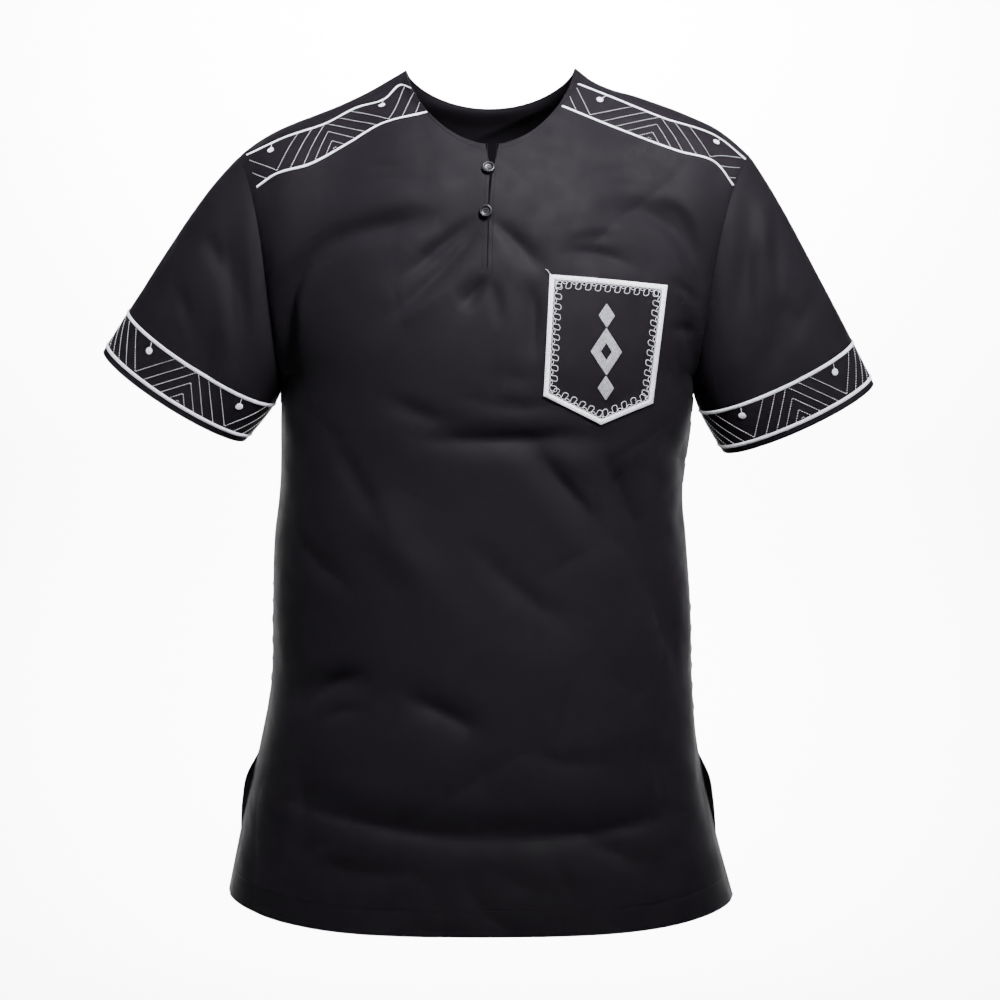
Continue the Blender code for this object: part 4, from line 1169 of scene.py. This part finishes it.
def stitch_tree(material):
    """Geometry Nodes that lay one curved thread at every point, along its own way."""
    tree = bpy.data.node_groups.new("stitches", "GeometryNodeTree")
    tree.interface.new_socket("Geometry", in_out="INPUT", socket_type="NodeSocketGeometry")
    sockets = {}
    for name, kind, value in (
        ("Thread Radius", "NodeSocketFloat", 0.0003),
        ("Rise", "NodeSocketFloat", 0.0003),
        ("Turn", "NodeSocketFloat", 0.04),
        ("Seed", "NodeSocketInt", 1),
    ):
        sockets[name] = tree.interface.new_socket(name, in_out="INPUT", socket_type=kind)
        sockets[name].default_value = value
    tree.interface.new_socket("Geometry", in_out="OUTPUT", socket_type="NodeSocketGeometry")
    add = functools.partial(add_node, tree)
    source = add("NodeGroupInput").outputs
    rise = add("ShaderNodeCombineXYZ", {"X": -0.3, "Z": source["Rise"]})
    fall = add("ShaderNodeCombineXYZ", {"X": 0.3, "Z": source["Rise"]})
    arc = add("GeometryNodeCurvePrimitiveBezierSegment", {
        "Resolution": 3, "Start": (-0.5, 0, 0), "Start Handle": rise.outputs[0],
        "End Handle": fall.outputs[0], "End": (0.5, 0, 0),
    })
    profile = add("GeometryNodeCurvePrimitiveCircle", {
        "Resolution": 4, "Radius": source["Thread Radius"],
    })
    thread = add("GeometryNodeCurveToMesh", {
        "Curve": arc.outputs[0], "Profile Curve": profile.outputs[0], "Fill Caps": True,
    })
    smooth = add("GeometryNodeSetShadeSmooth", {"Geometry": thread.outputs[0]})
    way, up, length = (
        add("GeometryNodeInputNamedAttribute", {"Name": name}, data_type=kind).outputs[0]
        for name, kind, _ in THREAD_ATTRIBUTES
    )
    lie = add(
        "FunctionNodeAxesToRotation", {"Primary Axis": way, "Secondary Axis": up},
        primary_axis="X", secondary_axis="Z",
    )
    least = add("ShaderNodeMath", {0: source["Turn"], 1: -1.0}, operation="MULTIPLY")
    wander = add("FunctionNodeRandomValue", {"Seed": source["Seed"]}, data_type="FLOAT")
    float_inputs = [socket for socket in wander.inputs if socket.type == "VALUE"]
    tree.links.new(least.outputs[0], float_inputs[0])
    tree.links.new(source["Turn"], float_inputs[1])
    random_out = [socket for socket in wander.outputs if socket.type == "VALUE"][0]
    turn = add("FunctionNodeAxisAngleToRotation", {"Axis": (0, 0, 1), "Angle": random_out})
    both = {"Rotation": lie.outputs[0], "Rotate By": turn.outputs[0]}
    rotation = add("FunctionNodeRotateRotation", both, rotation_space="LOCAL")
    size = add("ShaderNodeCombineXYZ", {"X": length, "Y": 1.0, "Z": 1.0})
    laid = add("GeometryNodeInstanceOnPoints", {
        "Points": source["Geometry"], "Instance": smooth.outputs[0],
        "Rotation": rotation.outputs[0], "Scale": size.outputs[0],
    })
    real = add("GeometryNodeRealizeInstances", {"Geometry": laid.outputs[0]})
    coloured = add("GeometryNodeSetMaterial", {"Geometry": real.outputs[0], "Material": material})
    add("NodeGroupOutput", {"Geometry": coloured.outputs[0]})
    return tree, {name: socket.identifier for name, socket in sockets.items()}


def sew(name, stitches, material, radius, lay, seed):
    """Real thread: one curved stitch between every start and end, as a plain mesh object.

    The lay is how high a stitch arches, and how high it lies over the cloth.
    """
    rise, lift = lay
    run = stitches.end - stitches.start
    length = np.linalg.norm(run, axis=1)
    kept = length > 1e-5
    run, length, normal = run[kept], length[kept], stitches.normal[kept]
    centre = (stitches.start[kept] + stitches.end[kept]) / 2 + normal * lift
    mesh = bpy.data.meshes.new(f"{name}_points")
    mesh.from_pydata(centre.tolist(), [], [])
    values = (run / length[:, None], normal, length)
    for (attribute, kind, key), value in zip(THREAD_ATTRIBUTES, values):
        layer = mesh.attributes.new(attribute, kind, "POINT")
        layer.data.foreach_set(key, value.astype(np.float32).ravel())
    points = new_object(f"{name}_points", mesh)
    tree, sockets = stitch_tree(material)
    modifier = points.modifiers.new("stitches", "NODES")
    modifier.node_group = tree
    for key, value in (("Thread Radius", radius), ("Rise", rise), ("Seed", seed)):
        modifier[sockets[key]] = value
    graph = bpy.context.evaluated_depsgraph_get()
    made = bpy.data.meshes.new_from_object(points.evaluated_get(graph))
    bpy.data.objects.remove(points)
    bpy.data.meshes.remove(mesh)
    made.name = name
    if not len(made.polygons):
        raise RuntimeError(f"{name} has no stitches")
    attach(new_object(name, made), "root")


def thread_material(name, colour, gloss=0.5, evenness=0.6):
    """Embroidery thread with stitches that catch the light unevenly."""
    material = plain_material(name, colour, 0.5, **{"Specular IOR Level": gloss})
    shader, links, add = material_tools(material)
    place = add("ShaderNodeTexCoord").outputs["Object"]
    noise = add("ShaderNodeTexNoise", {"Vector": place, "Scale": 700.0, "Detail": 2.0})
    uneven = noise.outputs["Fac"]
    share = add("ShaderNodeMapRange", {"Value": uneven, "From Min": 0.35, "From Max": 0.65})
    dark = (*(channel * evenness for channel in colour), 1.0)
    mixed = {"Factor": share.outputs["Result"], 6: dark, 7: (*colour, 1.0)}
    tone = add("ShaderNodeMix", mixed, data_type="RGBA")
    links.new(tone.outputs[2], shader.inputs["Base Color"])
    bump = add("ShaderNodeBump", {"Strength": 0.3, "Distance": 0.0001, "Height": uneven})
    links.new(bump.outputs["Normal"], shader.inputs["Normal"])
    return material


def white_thread():
    """Material of the white embroidery."""
    colour = bpy.context.scene.shirt_thread.colour
    return shared_material("white_thread", functools.partial(thread_material, colour=tuple(colour)))


def black_thread():
    """Material of the topstitching and of the thread that holds the buttons."""
    colour = bpy.context.scene.shirt_thread.seam_colour
    make = functools.partial(thread_material, colour=tuple(colour), gloss=SEAM_GLOSS)
    return shared_material("black_thread", make)


def pocket_corners():
    """Corners of the pocket seen from the front, in order round it."""
    names = ("top_left", "bottom_left", "tip", "bottom_right", "top_right")
    return np.array([POCKET_CORNERS[name] for name in names])


def inset_line(corners, inset):
    """Corner places moved inwards by a length, square to the sides of a closed outline."""
    moved = []
    count = len(corners)
    for k in range(count):
        before = corners[k] - corners[k - 1]
        after = corners[(k + 1) % count] - corners[k]
        a = np.array((-before[1], before[0])) / np.linalg.norm(before)
        b = np.array((-after[1], after[0])) / np.linalg.norm(after)
        moved.append(corners[k] + (a + b) * inset / (1 + a @ b))
    return np.array(moved)


def make_pocket():
    """Patch pocket on the front, as a thin shell. Returns its outer points."""
    tree = cloth_tree(dressed("front")[0])
    corner = {name: np.array(place) for name, place in POCKET_CORNERS.items()}
    shares = np.linspace(0, 1, POCKET_CELLS + 1)
    plan = np.zeros((len(shares), len(shares), 2))
    for i, share in enumerate(shares):
        top = corner["top_left"] + (corner["top_right"] - corner["top_left"]) * share
        side = "bottom_left" if share < 0.5 else "bottom_right"
        bottom = corner[side] + (corner["tip"] - corner[side]) * 2 * min(share, 1 - share)
        plan[i] = bottom + (top - bottom) * shares[:, None]
    ground, _, _ = seen_from_front(tree, plan)
    normals = grid_normals(ground, np.array((0.0, -1.0, 0.2)))
    inner = ground + normals * POCKET_GAP
    outer = inner + normals * bpy.context.scene.shirt_cloth.thickness
    uv = plan - plan.mean(axis=(0, 1))
    material = shared_material("black_cotton", cotton_material)
    piece = sheet_object("pocket_cloth", outer, inner, uv, material)
    sew_in(piece, "pocket")
    return outer


def line_stitches(tree, path, pitch, length):
    """Running stitches along a path seen from the front."""
    run = run_along(path)
    middle = even_places(run[-1], pitch)
    ends = []
    for place in (middle - length / 2, middle + length / 2):
        ends.append(seen_from_front(tree, at_lengths(place, run, path)))
    return stitches_between(*ends)


def satin_between(tree, low, high, pitch):
    """Satin stitches from one straight line to another, both seen from the front."""
    low, high = np.asarray(low), np.asarray(high)
    count = max(int(np.linalg.norm(low[1] - low[0]) / pitch), 2)
    share = np.linspace(0, 1, count)[:, None]
    starts = seen_from_front(tree, low[0] + (low[1] - low[0]) * share)
    ends = seen_from_front(tree, high[0] + (high[1] - high[0]) * share)
    return stitches_between(starts, ends)


def scroll_paths(start, end):
    """Row of round loops along a straight side, and the low waves between their feet."""
    run = end - start
    length = np.linalg.norm(run)
    way = run / length
    inward = np.array((-way[1], way[0]))
    loops = max(round(length / SCROLL_PITCH), 1)
    t = np.linspace(0, math.tau * loops, loops * 22 + 1)
    even = t / math.tau * length / loops
    along = even + SCROLL_BULB * np.sin(2 * t) + SCROLL_LEAN * (1 - np.cos(t)) / 2
    across = SCROLL_HEIGHT / 2 * (1 - np.cos(t))
    low = SCROLL_LOW / 2 * (1 + np.cos(t))
    lines = ((along, across), (even, low))
    return [start + x[:, None] * way + y[:, None] * inward for x, y in lines]


def lozenge_fill(tree, centre, half_width, half_height, hollow, pitch):
    """Fill stitches of an upright lozenge, with an open lozenge in its middle."""
    parts = []
    for k, offset in enumerate(np.arange(-half_height + pitch, half_height, pitch)):
        reach = half_width * (1 - abs(offset) / half_height)
        open_reach = 0.0
        if hollow:
            open_reach = hollow * half_width * (1 - abs(offset) / (hollow * half_height))
        spans = [(-reach, reach)]
        if open_reach > 0:
            spans = [(-reach, -open_reach), (open_reach, reach)]
        for low, high in spans:
            if high - low < FILL_LEAST:
                continue
            cuts = np.arange(low + (k % 3 - 1) * FILL_STAGGER, high, FILL_STITCH)
            inside = (cuts > low + FILL_MARGIN) & (cuts < high - FILL_MARGIN)
            cuts = np.concatenate(([low], cuts[inside], [high]))
            flat = np.stack((centre[0] + cuts, np.full(len(cuts), centre[1] + offset)), axis=1)
            seen = seen_from_front(tree, flat)
            starts, ends = ([part[span] for part in seen] for span in (slice(-1), slice(1, None)))
            parts.append(stitches_between(starts, ends))
    return joined(parts)


def line_beside(points, normals, axis, end, distance):
    """Points and normals of a line on a grid, at a distance from one of its borders."""
    if axis == 0:
        points, normals = points.swapaxes(0, 1), normals.swapaxes(0, 1)
    if end == -1:
        points, normals = points[:, ::-1], normals[:, ::-1]
    line = []
    ways = []
    for k in range(len(points)):
        run = run_along(points[k])
        line.append(at_lengths(distance, run, points[k]))
        ways.append(at_lengths(distance, run, normals[k]))
    return np.array(line), np.array(ways)


def path_stitches(points, normals, pitch, length):
    """Running stitches along a line of points."""
    run = run_along(points)
    middle = even_places(run[-1], pitch)
    ends = [at_lengths(place, run, points) for place in (middle - length / 2, middle + length / 2)]
    return Stitches(*ends, at_lengths(middle, run, normals))


def panel_topstitch(name):
    """Topstitching along a panel's hem, vents and neckline, and along the front's slit."""
    outer, normals, _ = dressed(name)
    skirt = slice(0, SKIRT_ROWS * FINER + 1)
    neck = slice(SHOULDER_COLUMNS * FINER + 2, len(outer) - SHOULDER_COLUMNS * FINER - 2)
    lines = [line_beside(outer, normals, 1, 0, HEM_LINE)]
    lines += [line_beside(outer[:, skirt], normals[:, skirt], 0, end, VENT_LINE) for end in (0, -1)]
    above = line_beside(outer[neck], normals[neck], 1, -1, NECK_LINE)
    middle = len(outer) // 2
    if name == "back":
        lines.append(above)
    else:
        half = len(above[0]) // 2
        sides = (slice(half - 2), slice(half + 3, None))
        lines += [[part[span] for part in above] for span in sides]
        for columns, end in ((slice(middle + 1), -1), (slice(middle, None), 0)):
            beside = (columns, slice(SLIT_ROW * FINER, -3))
            lines.append(line_beside(outer[beside], normals[beside], 0, end, SLIT_LINE))
    return joined([path_stitches(*line, TOPSTITCH_PITCH, TOPSTITCH_LENGTH) for line in lines])


def button_mesh(sides):
    """Turned body of a button with a rim, lying on its back, before its holes are cut."""
    knots = np.arange(len(BUTTON_PROFILE))
    steps = np.linspace(0, len(knots) - 1, 4 * (len(knots) - 1) + 1)
    profile = np.array([smooth_through(knots, BUTTON_PROFILE, step) for step in steps])
    profile = np.clip(profile, 0, None) * (BUTTON_RADIUS, BUTTON_HEIGHT)
    mesh = bmesh.new()
    line = [mesh.verts.new((radius, 0.0, height)) for radius, height in profile]
    edges = [mesh.edges.new(pair) for pair in zip(line, line[1:])]
    bmesh.ops.spin(
        mesh, geom=line + edges, cent=(0, 0, 0), axis=(0, 0, 1), angle=math.tau, steps=sides,
        use_merge=True,
    )
    bmesh.ops.remove_doubles(mesh, verts=mesh.verts, dist=0.000004)
    bmesh.ops.recalc_face_normals(mesh, faces=mesh.faces)
    data = bpy.data.meshes.new("button_body")
    mesh.to_mesh(data)
    mesh.free()
    return data


def hole_mesh():
    """Four small cylinders that cut a button's holes."""
    mesh = bmesh.new()
    for side_x, side_y in ((-1, -1), (-1, 1), (1, -1), (1, 1)):
        place = Vector((side_x, side_y, 0)) * BUTTON_HOLE_SPACING
        place += Vector((0, 0, BUTTON_HEIGHT / 2))
        bmesh.ops.create_cone(
            mesh, cap_ends=True, segments=16, radius1=BUTTON_HOLE_RADIUS,
            radius2=BUTTON_HOLE_RADIUS, depth=BUTTON_HEIGHT * 2, matrix=Matrix.Translation(place),
        )
    data = bpy.data.meshes.new("button_holes")
    mesh.to_mesh(data)
    mesh.free()
    return data


def make_button(name, seat, sides, material):
    """One button in its place, with the holes cut."""
    body = new_object(f"{name}_body", button_mesh(sides))
    holes = new_object(f"{name}_holes", hole_mesh())
    cut = body.modifiers.new("holes", "BOOLEAN")
    cut.solver = "EXACT"
    cut.object = holes
    graph = bpy.context.evaluated_depsgraph_get()
    mesh = bpy.data.meshes.new_from_object(body.evaluated_get(graph))
    for piece in (body, holes):
        old = piece.data
        bpy.data.objects.remove(piece)
        bpy.data.meshes.remove(old)
    mesh.transform(seat)
    mesh.name = f"{name}_turned"
    mesh.shade_smooth()
    mesh.set_sharp_from_angle(angle=math.radians(50))
    mesh.materials.clear()
    mesh.materials.append(material)
    sew_in(new_object(f"{name}_turned", mesh), name)


def gloss_material(name, colour, roughness):
    """Polished black plastic with faint handling marks."""
    material = plain_material(name, colour, roughness, **{"Specular IOR Level": 0.16})
    shader, links, add = material_tools(material)
    place = add("ShaderNodeTexCoord").outputs["Object"]
    marks = add("ShaderNodeTexNoise", {"Vector": place, "Scale": 600.0, "Detail": 3.0})
    spread_of_gloss = add("ShaderNodeMapRange", {
        "Value": marks.outputs["Fac"], "From Min": 0.35, "From Max": 0.65,
        "To Min": roughness * 0.8, "To Max": roughness * 1.5,
    })
    links.new(spread_of_gloss.outputs["Result"], shader.inputs["Roughness"])
    return material


def embroider(name, fine, heavy, seed, fineness=1.0):
    """Sews the fine and the heavy stitches of one piece of embroidery."""
    thread = bpy.context.scene.shirt_thread
    white = white_thread()
    sew(f"{name}_fine", fine, white, thread.radius * fineness, FINE_LAY, seed)
    sew(f"{name}_satin", heavy, white, thread.satin_radius, SATIN_LAY, seed + 1)


def area_light(name, light, energy):
    """Square soft light turned to its target."""
    data = bpy.data.lights.new(name, "AREA")
    data.size = light.size
    data.energy = energy
    data.spread = light.spread
    lamp = new_object(name, data)
    lamp.location = light.place
    way = Vector(light.target) - Vector(light.place)
    lamp.rotation_euler = way.to_track_quat("-Z", "Y").to_euler()


def make_sweep():
    """Plain round floor that curves up into a wall on every side."""
    turns = np.linspace(0, math.pi / 2, SWEEP_STEPS)
    profile = [(SWEEP_RADIUS - 1 + math.sin(turn), 1 - math.cos(turn)) for turn in turns]
    profile.append((SWEEP_RADIUS, SWEEP_HEIGHT))
    vertices = [(0.0, 0.0, FLOOR_Z)]
    for radius, height in profile:
        for angle in np.linspace(0, math.tau, SWEEP_SIDES, endpoint=False):
            vertices.append((radius * math.cos(angle), radius * math.sin(angle), FLOOR_Z + height))
    faces = []
    for k in range(SWEEP_SIDES):
        nearby = (k + 1) % SWEEP_SIDES
        faces.append((0, 1 + k, 1 + nearby))
        for row in range(len(profile) - 1):
            low = 1 + row * SWEEP_SIDES
            high = low + SWEEP_SIDES
            faces.append((low + nearby, low + k, high + k, high + nearby))
    mesh = bpy.data.meshes.new("sweep")
    mesh.from_pydata(vertices, [], faces)
    mesh.shade_smooth()
    mesh.materials.append(plain_material("studio_white", SWEEP_COLOUR, 0.9))
    new_object("sweep", mesh)


def number_setting(name, text, default, unit="NONE"):
    """Number that the panel's steps read."""
    return FloatProperty(name=name, description=text, default=default, unit=unit)


def length_setting(name, text, default):
    """Length that the panel's steps read."""
    return number_setting(name, text, default, "LENGTH")


def colour_setting(name, text, default):
    """Colour that the panel's steps read."""
    return FloatVectorProperty(name=name, description=text, default=default, subtype="COLOR")


class ShirtClothSettings(bpy.types.PropertyGroup):
    """The cotton of the shirt."""

    thickness: length_setting("Thickness", "Cloth thickness", 0.0008)
    swell: number_setting("Swell", "Strength of the loose undulation", 1.0)
    colour: colour_setting("Colour", "Colour of the cotton", (0.0032, 0.0025, 0.0037))
    roughness: number_setting("Roughness", "Roughness of the cotton", 0.7)
    gloss: number_setting("Gloss", "Mirroring of the cotton", 0.05)
    sheen: number_setting("Sheen", "Weight of the soft sheen", 0.001)


class ShirtThreadSettings(bpy.types.PropertyGroup):
    """The embroidery and the topstitching of the shirt."""

    colour: colour_setting("Colour", "Colour of the embroidery thread", (0.56, 0.56, 0.61))
    fill_colour: colour_setting("Fill colour", "Colour of the lozenges' thread", (0.22, 0.22, 0.24))
    seam_colour: colour_setting("Seam colour", "Colour of the seams", (0.0040, 0.0034, 0.0046))
    radius: length_setting("Radius", "Thread radius", 0.00025)
    satin_radius: length_setting("Satin radius", "Thread radius in satin stitch", 0.00030)
    satin_pitch: length_setting("Satin pitch", "Distance between satin stitches", 0.00045)
    shoulder_border: length_setting("Shoulder border", "Width of the shoulders' borders", 0.0022)
    cuff_border: length_setting("Cuff border", "Width of the cuffs' borders", 0.0031)
    run_pitch: length_setting("Run pitch", "Distance between running stitches", 0.0022)
    run_length: length_setting("Run length", "Length of a running stitch", 0.0012)
    dot_radius: length_setting("Dot radius", "Radius of an embroidered dot", 0.0030)


class ShirtButtonSettings(bpy.types.PropertyGroup):
    """The two buttons of the shirt."""

    colour: colour_setting("Colour", "Colour of the buttons", (0.006, 0.006, 0.007))
    roughness: number_setting("Roughness", "Roughness of the buttons", 0.28)
    sides: IntProperty(name="Sides", description="Sides of a turned button", default=64, min=12)


class ShirtStageSettings(bpy.types.PropertyGroup):
    """The studio round the shirt."""

    key_energy: number_setting("Key light", "Energy of the key light", 17.5, "POWER")
    fill_energy: number_setting("Fill light", "Energy of the fill light", 4.5, "POWER")
    back_energy: number_setting("Back light", "Energy of the back light", 900.0, "POWER")
    world_light: number_setting("World light", "Strength of the even light", 0.03)
    distance: length_setting("Distance", "Camera distance", 2.3)
    lens: number_setting("Lens", "Focal length of the camera", 92.0, "CAMERA")


class SHIRT_OT_cloth(bpy.types.Operator):
    """Lay the cotton of the front, the back and both sleeves"""

    bl_idname = "shirt.cloth"
    bl_label = "Lay Cotton"

    def execute(self, context):
        for name in ("front", "back", "sleeve_left", "sleeve_right"):
            make_cloth(name)
        return {"FINISHED"}


class SHIRT_OT_pocket(bpy.types.Operator):
    """Lay the pocket and sew its edge, scrolls and lozenges"""

    bl_idname = "shirt.pocket"
    bl_label = "Sew Pocket"

    def execute(self, context):
        thread = context.scene.shirt_thread
        tree = cloth_tree(make_pocket())
        corners = pocket_corners()
        edge_low = inset_line(corners, POCKET_RIM)
        edge_high = inset_line(corners, POCKET_EDGE)
        scroll = inset_line(corners, POCKET_EDGE + SCROLL_GAP)
        heavy = []
        scrolls = []
        for k in range(len(corners)):
            nearby = (k + 1) % len(corners)
            low = edge_low[[k, nearby]]
            high = edge_high[[k, nearby]]
            heavy.append(satin_between(tree, low, high, thread.satin_pitch))
            paths = scroll_paths(scroll[k], scroll[nearby])
            scrolls += [line_stitches(tree, path, SCROLL_STEP, SCROLL_STITCH) for path in paths]
        fine = joined(scrolls)
        embroider("front_thread_pocket", fine, joined(heavy), SEEDS["pocket"], SCROLL_FINENESS)
        fill = [lozenge_fill(tree, (x, z), *rest, thread.satin_pitch) for x, z, *rest in LOZENGES]
        grey = thread_material("grey_thread", tuple(thread.fill_colour), evenness=0.4)
        radius = thread.satin_radius
        sew("front_thread_lozenges", joined(fill), grey, radius, FILL_LAY, SEEDS["lozenges"])
        points, normals, _ = seen_from_front(cloth_tree(dressed("front")[0]), LOOSE_END)
        points = points + normals * np.array(LOOSE_END_LIFT)[:, None]
        loose = Stitches(points[:-1], points[1:], normals[:-1])
        white = white_thread()
        radius = thread.radius * LOOSE_FINENESS
        sew("front_thread_loose_end", loose, white, radius, LOOSE_LAY, SEEDS["loose_end"])
        return {"FINISHED"}


class SHIRT_OT_shoulders(bpy.types.Operator):
    """Sew the chevron bands under the shoulder seams"""

    bl_idname = "shirt.shoulders"
    bl_label = "Sew Shoulder Bands"

    def execute(self, context):
        thread = context.scene.shirt_thread
        tree = cloth_tree(dressed("front")[0])
        for k, (name, band) in enumerate(SHOULDER_BANDS.items()):
            ground = shoulder_ground(tree, band.lines)
            fine, heavy = chevron_band(ground, band.repeat, band.phase, thread.shoulder_border)
            embroider(f"front_thread_{name}", fine, heavy, SEEDS["shoulders"] + 2 * k)
        return {"FINISHED"}


class SHIRT_OT_cuffs(bpy.types.Operator):
    """Sew the chevron bands round the sleeves' ends"""

    bl_idname = "shirt.cuffs"
    bl_label = "Sew Cuff Bands"

    def execute(self, context):
        thread = context.scene.shirt_thread
        for k, name in enumerate(("sleeve_left", "sleeve_right")):
            ground = cuff_ground(*dressed(name)[:2])
            repeat = ground.length / CUFF_REPEATS
            phase = CUFF_PHASE[name] * repeat
            fine, heavy = chevron_band(ground, repeat, phase, thread.cuff_border, closed=True)
            embroider(f"{name}_thread", fine, heavy, SEEDS["cuffs"] + 2 * k)
        return {"FINISHED"}


class SHIRT_OT_topstitch(bpy.types.Operator):
    """Sew the black topstitching of hems, vents, neckline and slit"""

    bl_idname = "shirt.topstitch"
    bl_label = "Sew Hems"

    def execute(self, context):
        for k, name in enumerate(("front", "back")):
            lines = panel_topstitch(name)
            seed = SEEDS["hems"] + k
            sew(f"{name}_thread_hems", lines, black_thread(), TOPSTITCH_RADIUS, SEAM_LAY, seed)
        return {"FINISHED"}


class SHIRT_OT_buttons(bpy.types.Operator):
    """Turn the two buttons and sew them on"""

    bl_idname = "shirt.buttons"
    bl_label = "Sew On Buttons"

    def execute(self, context):
        settings = context.scene.shirt_button
        tree = cloth_tree(dressed("front")[0])
        plastic = gloss_material("black_plastic", tuple(settings.colour), settings.roughness)
        for k, (name, place) in enumerate(BUTTONS.items()):
            point, normal, _ = seen_from_front(tree, [place])
            turn = Vector(normal[0]).to_track_quat("Z", "Y").to_matrix().to_4x4()
            seat = Matrix.Translation(Vector(point[0] + normal[0] * BUTTON_LIFT)) @ turn
            make_button(name, seat, settings.sides, plastic)
            gap = BUTTON_HOLE_SPACING
            level = BUTTON_HEIGHT * BUTTON_THREAD_LEVEL
            bars = [((-gap, side * gap, level), (gap, side * gap, level)) for side in (-1, 1)]
            corners = [(x, y) for x in (-gap, gap) for y in (-gap, gap)]
            bars += [((*corner, level), (*corner, -BUTTON_LIFT)) for corner in corners]
            ends = np.array([[seat @ Vector(end) for end in bar] for bar in bars])
            ways = np.repeat(normal, len(bars), axis=0)
            ways[2:] = np.array(turn.to_3x3() @ Vector((0, 1, 0)))
            stitches = Stitches(ends[:, 0], ends[:, 1], ways)
            black = black_thread()
            seed = SEEDS["buttons"] + k
            sew(f"front_thread_{name}", stitches, black, BUTTON_THREAD_RADIUS, SEAM_LAY, seed)
        return {"FINISHED"}


class SHIRT_OT_declare(bpy.types.Operator):
    """Read the outer points and flat lengths of every cut piece"""

    bl_idname = "shirt.declare"
    bl_label = "Declare Sheets"

    def execute(self, context):
        for name in ("front", "back", "sleeve_left", "sleeve_right"):
            declare_sheet(name)
        return {"FINISHED"}


class SHIRT_OT_stage(bpy.types.Operator):
    """Set up the floor, the lights and the camera"""

    bl_idname = "shirt.stage"
    bl_label = "Set Up Studio"

    def execute(self, context):
        settings = context.scene.shirt_stage
        make_sweep()
        energies = (settings.key_energy, settings.fill_energy, settings.back_energy)
        for (name, light), energy in zip(LIGHTS.items(), energies):
            area_light(name, light, energy)
        world = bpy.data.worlds.new("studio")
        world.use_nodes = True
        background = world.node_tree.nodes["Background"]
        background.inputs["Color"].default_value = (1.0, 1.0, 1.0, 1.0)
        background.inputs["Strength"].default_value = settings.world_light
        context.scene.world = world
        data = bpy.data.cameras.new("camera")
        data.lens = settings.lens
        data.sensor_width = 36.0
        camera = new_object("camera", data)
        camera.location = (EYE[0], -settings.distance, EYE[2])
        camera.rotation_euler = (math.pi / 2, 0.0, 0.0)
        context.scene.camera = camera
        return {"FINISHED"}


class SHIRT_PT_panel(bpy.types.Panel):
    """Lists the steps that finish the shirt"""

    bl_idname = "SHIRT_PT_panel"
    bl_label = "Dashiki Shirt"
    bl_space_type = "VIEW_3D"
    bl_region_type = "UI"
    bl_category = "Shirt"

    def draw(self, context):
        for step in STEPS:
            self.layout.operator(step.bl_idname)


STEPS = (
    SHIRT_OT_cloth, SHIRT_OT_pocket, SHIRT_OT_shoulders, SHIRT_OT_cuffs,
    SHIRT_OT_topstitch, SHIRT_OT_buttons, SHIRT_OT_declare, SHIRT_OT_stage,
)
SETTINGS = {
    "shirt_cloth": ShirtClothSettings,
    "shirt_thread": ShirtThreadSettings,
    "shirt_button": ShirtButtonSettings,
    "shirt_stage": ShirtStageSettings,
}


def register():
    """Registers the settings, the operators and the panel."""
    for name, group in SETTINGS.items():
        bpy.utils.register_class(group)
        setattr(bpy.types.Scene, name, PointerProperty(type=group))
    for item in (*STEPS, SHIRT_PT_panel):
        bpy.utils.register_class(item)


def unregister():
    """Removes what register added."""
    for item in reversed((*STEPS, SHIRT_PT_panel)):
        bpy.utils.unregister_class(item)
    for name, group in SETTINGS.items():
        delattr(bpy.types.Scene, name)
        bpy.utils.unregister_class(group)


def main():
    """Runs every step."""
    register()
    for step in STEPS:
        area, name = step.bl_idname.split(".")
        result = getattr(getattr(bpy.ops, area), name)()
        if result != {"FINISHED"}:
            raise RuntimeError(f"{step.bl_label} was not finished")


if __name__ == "__main__":
    main()
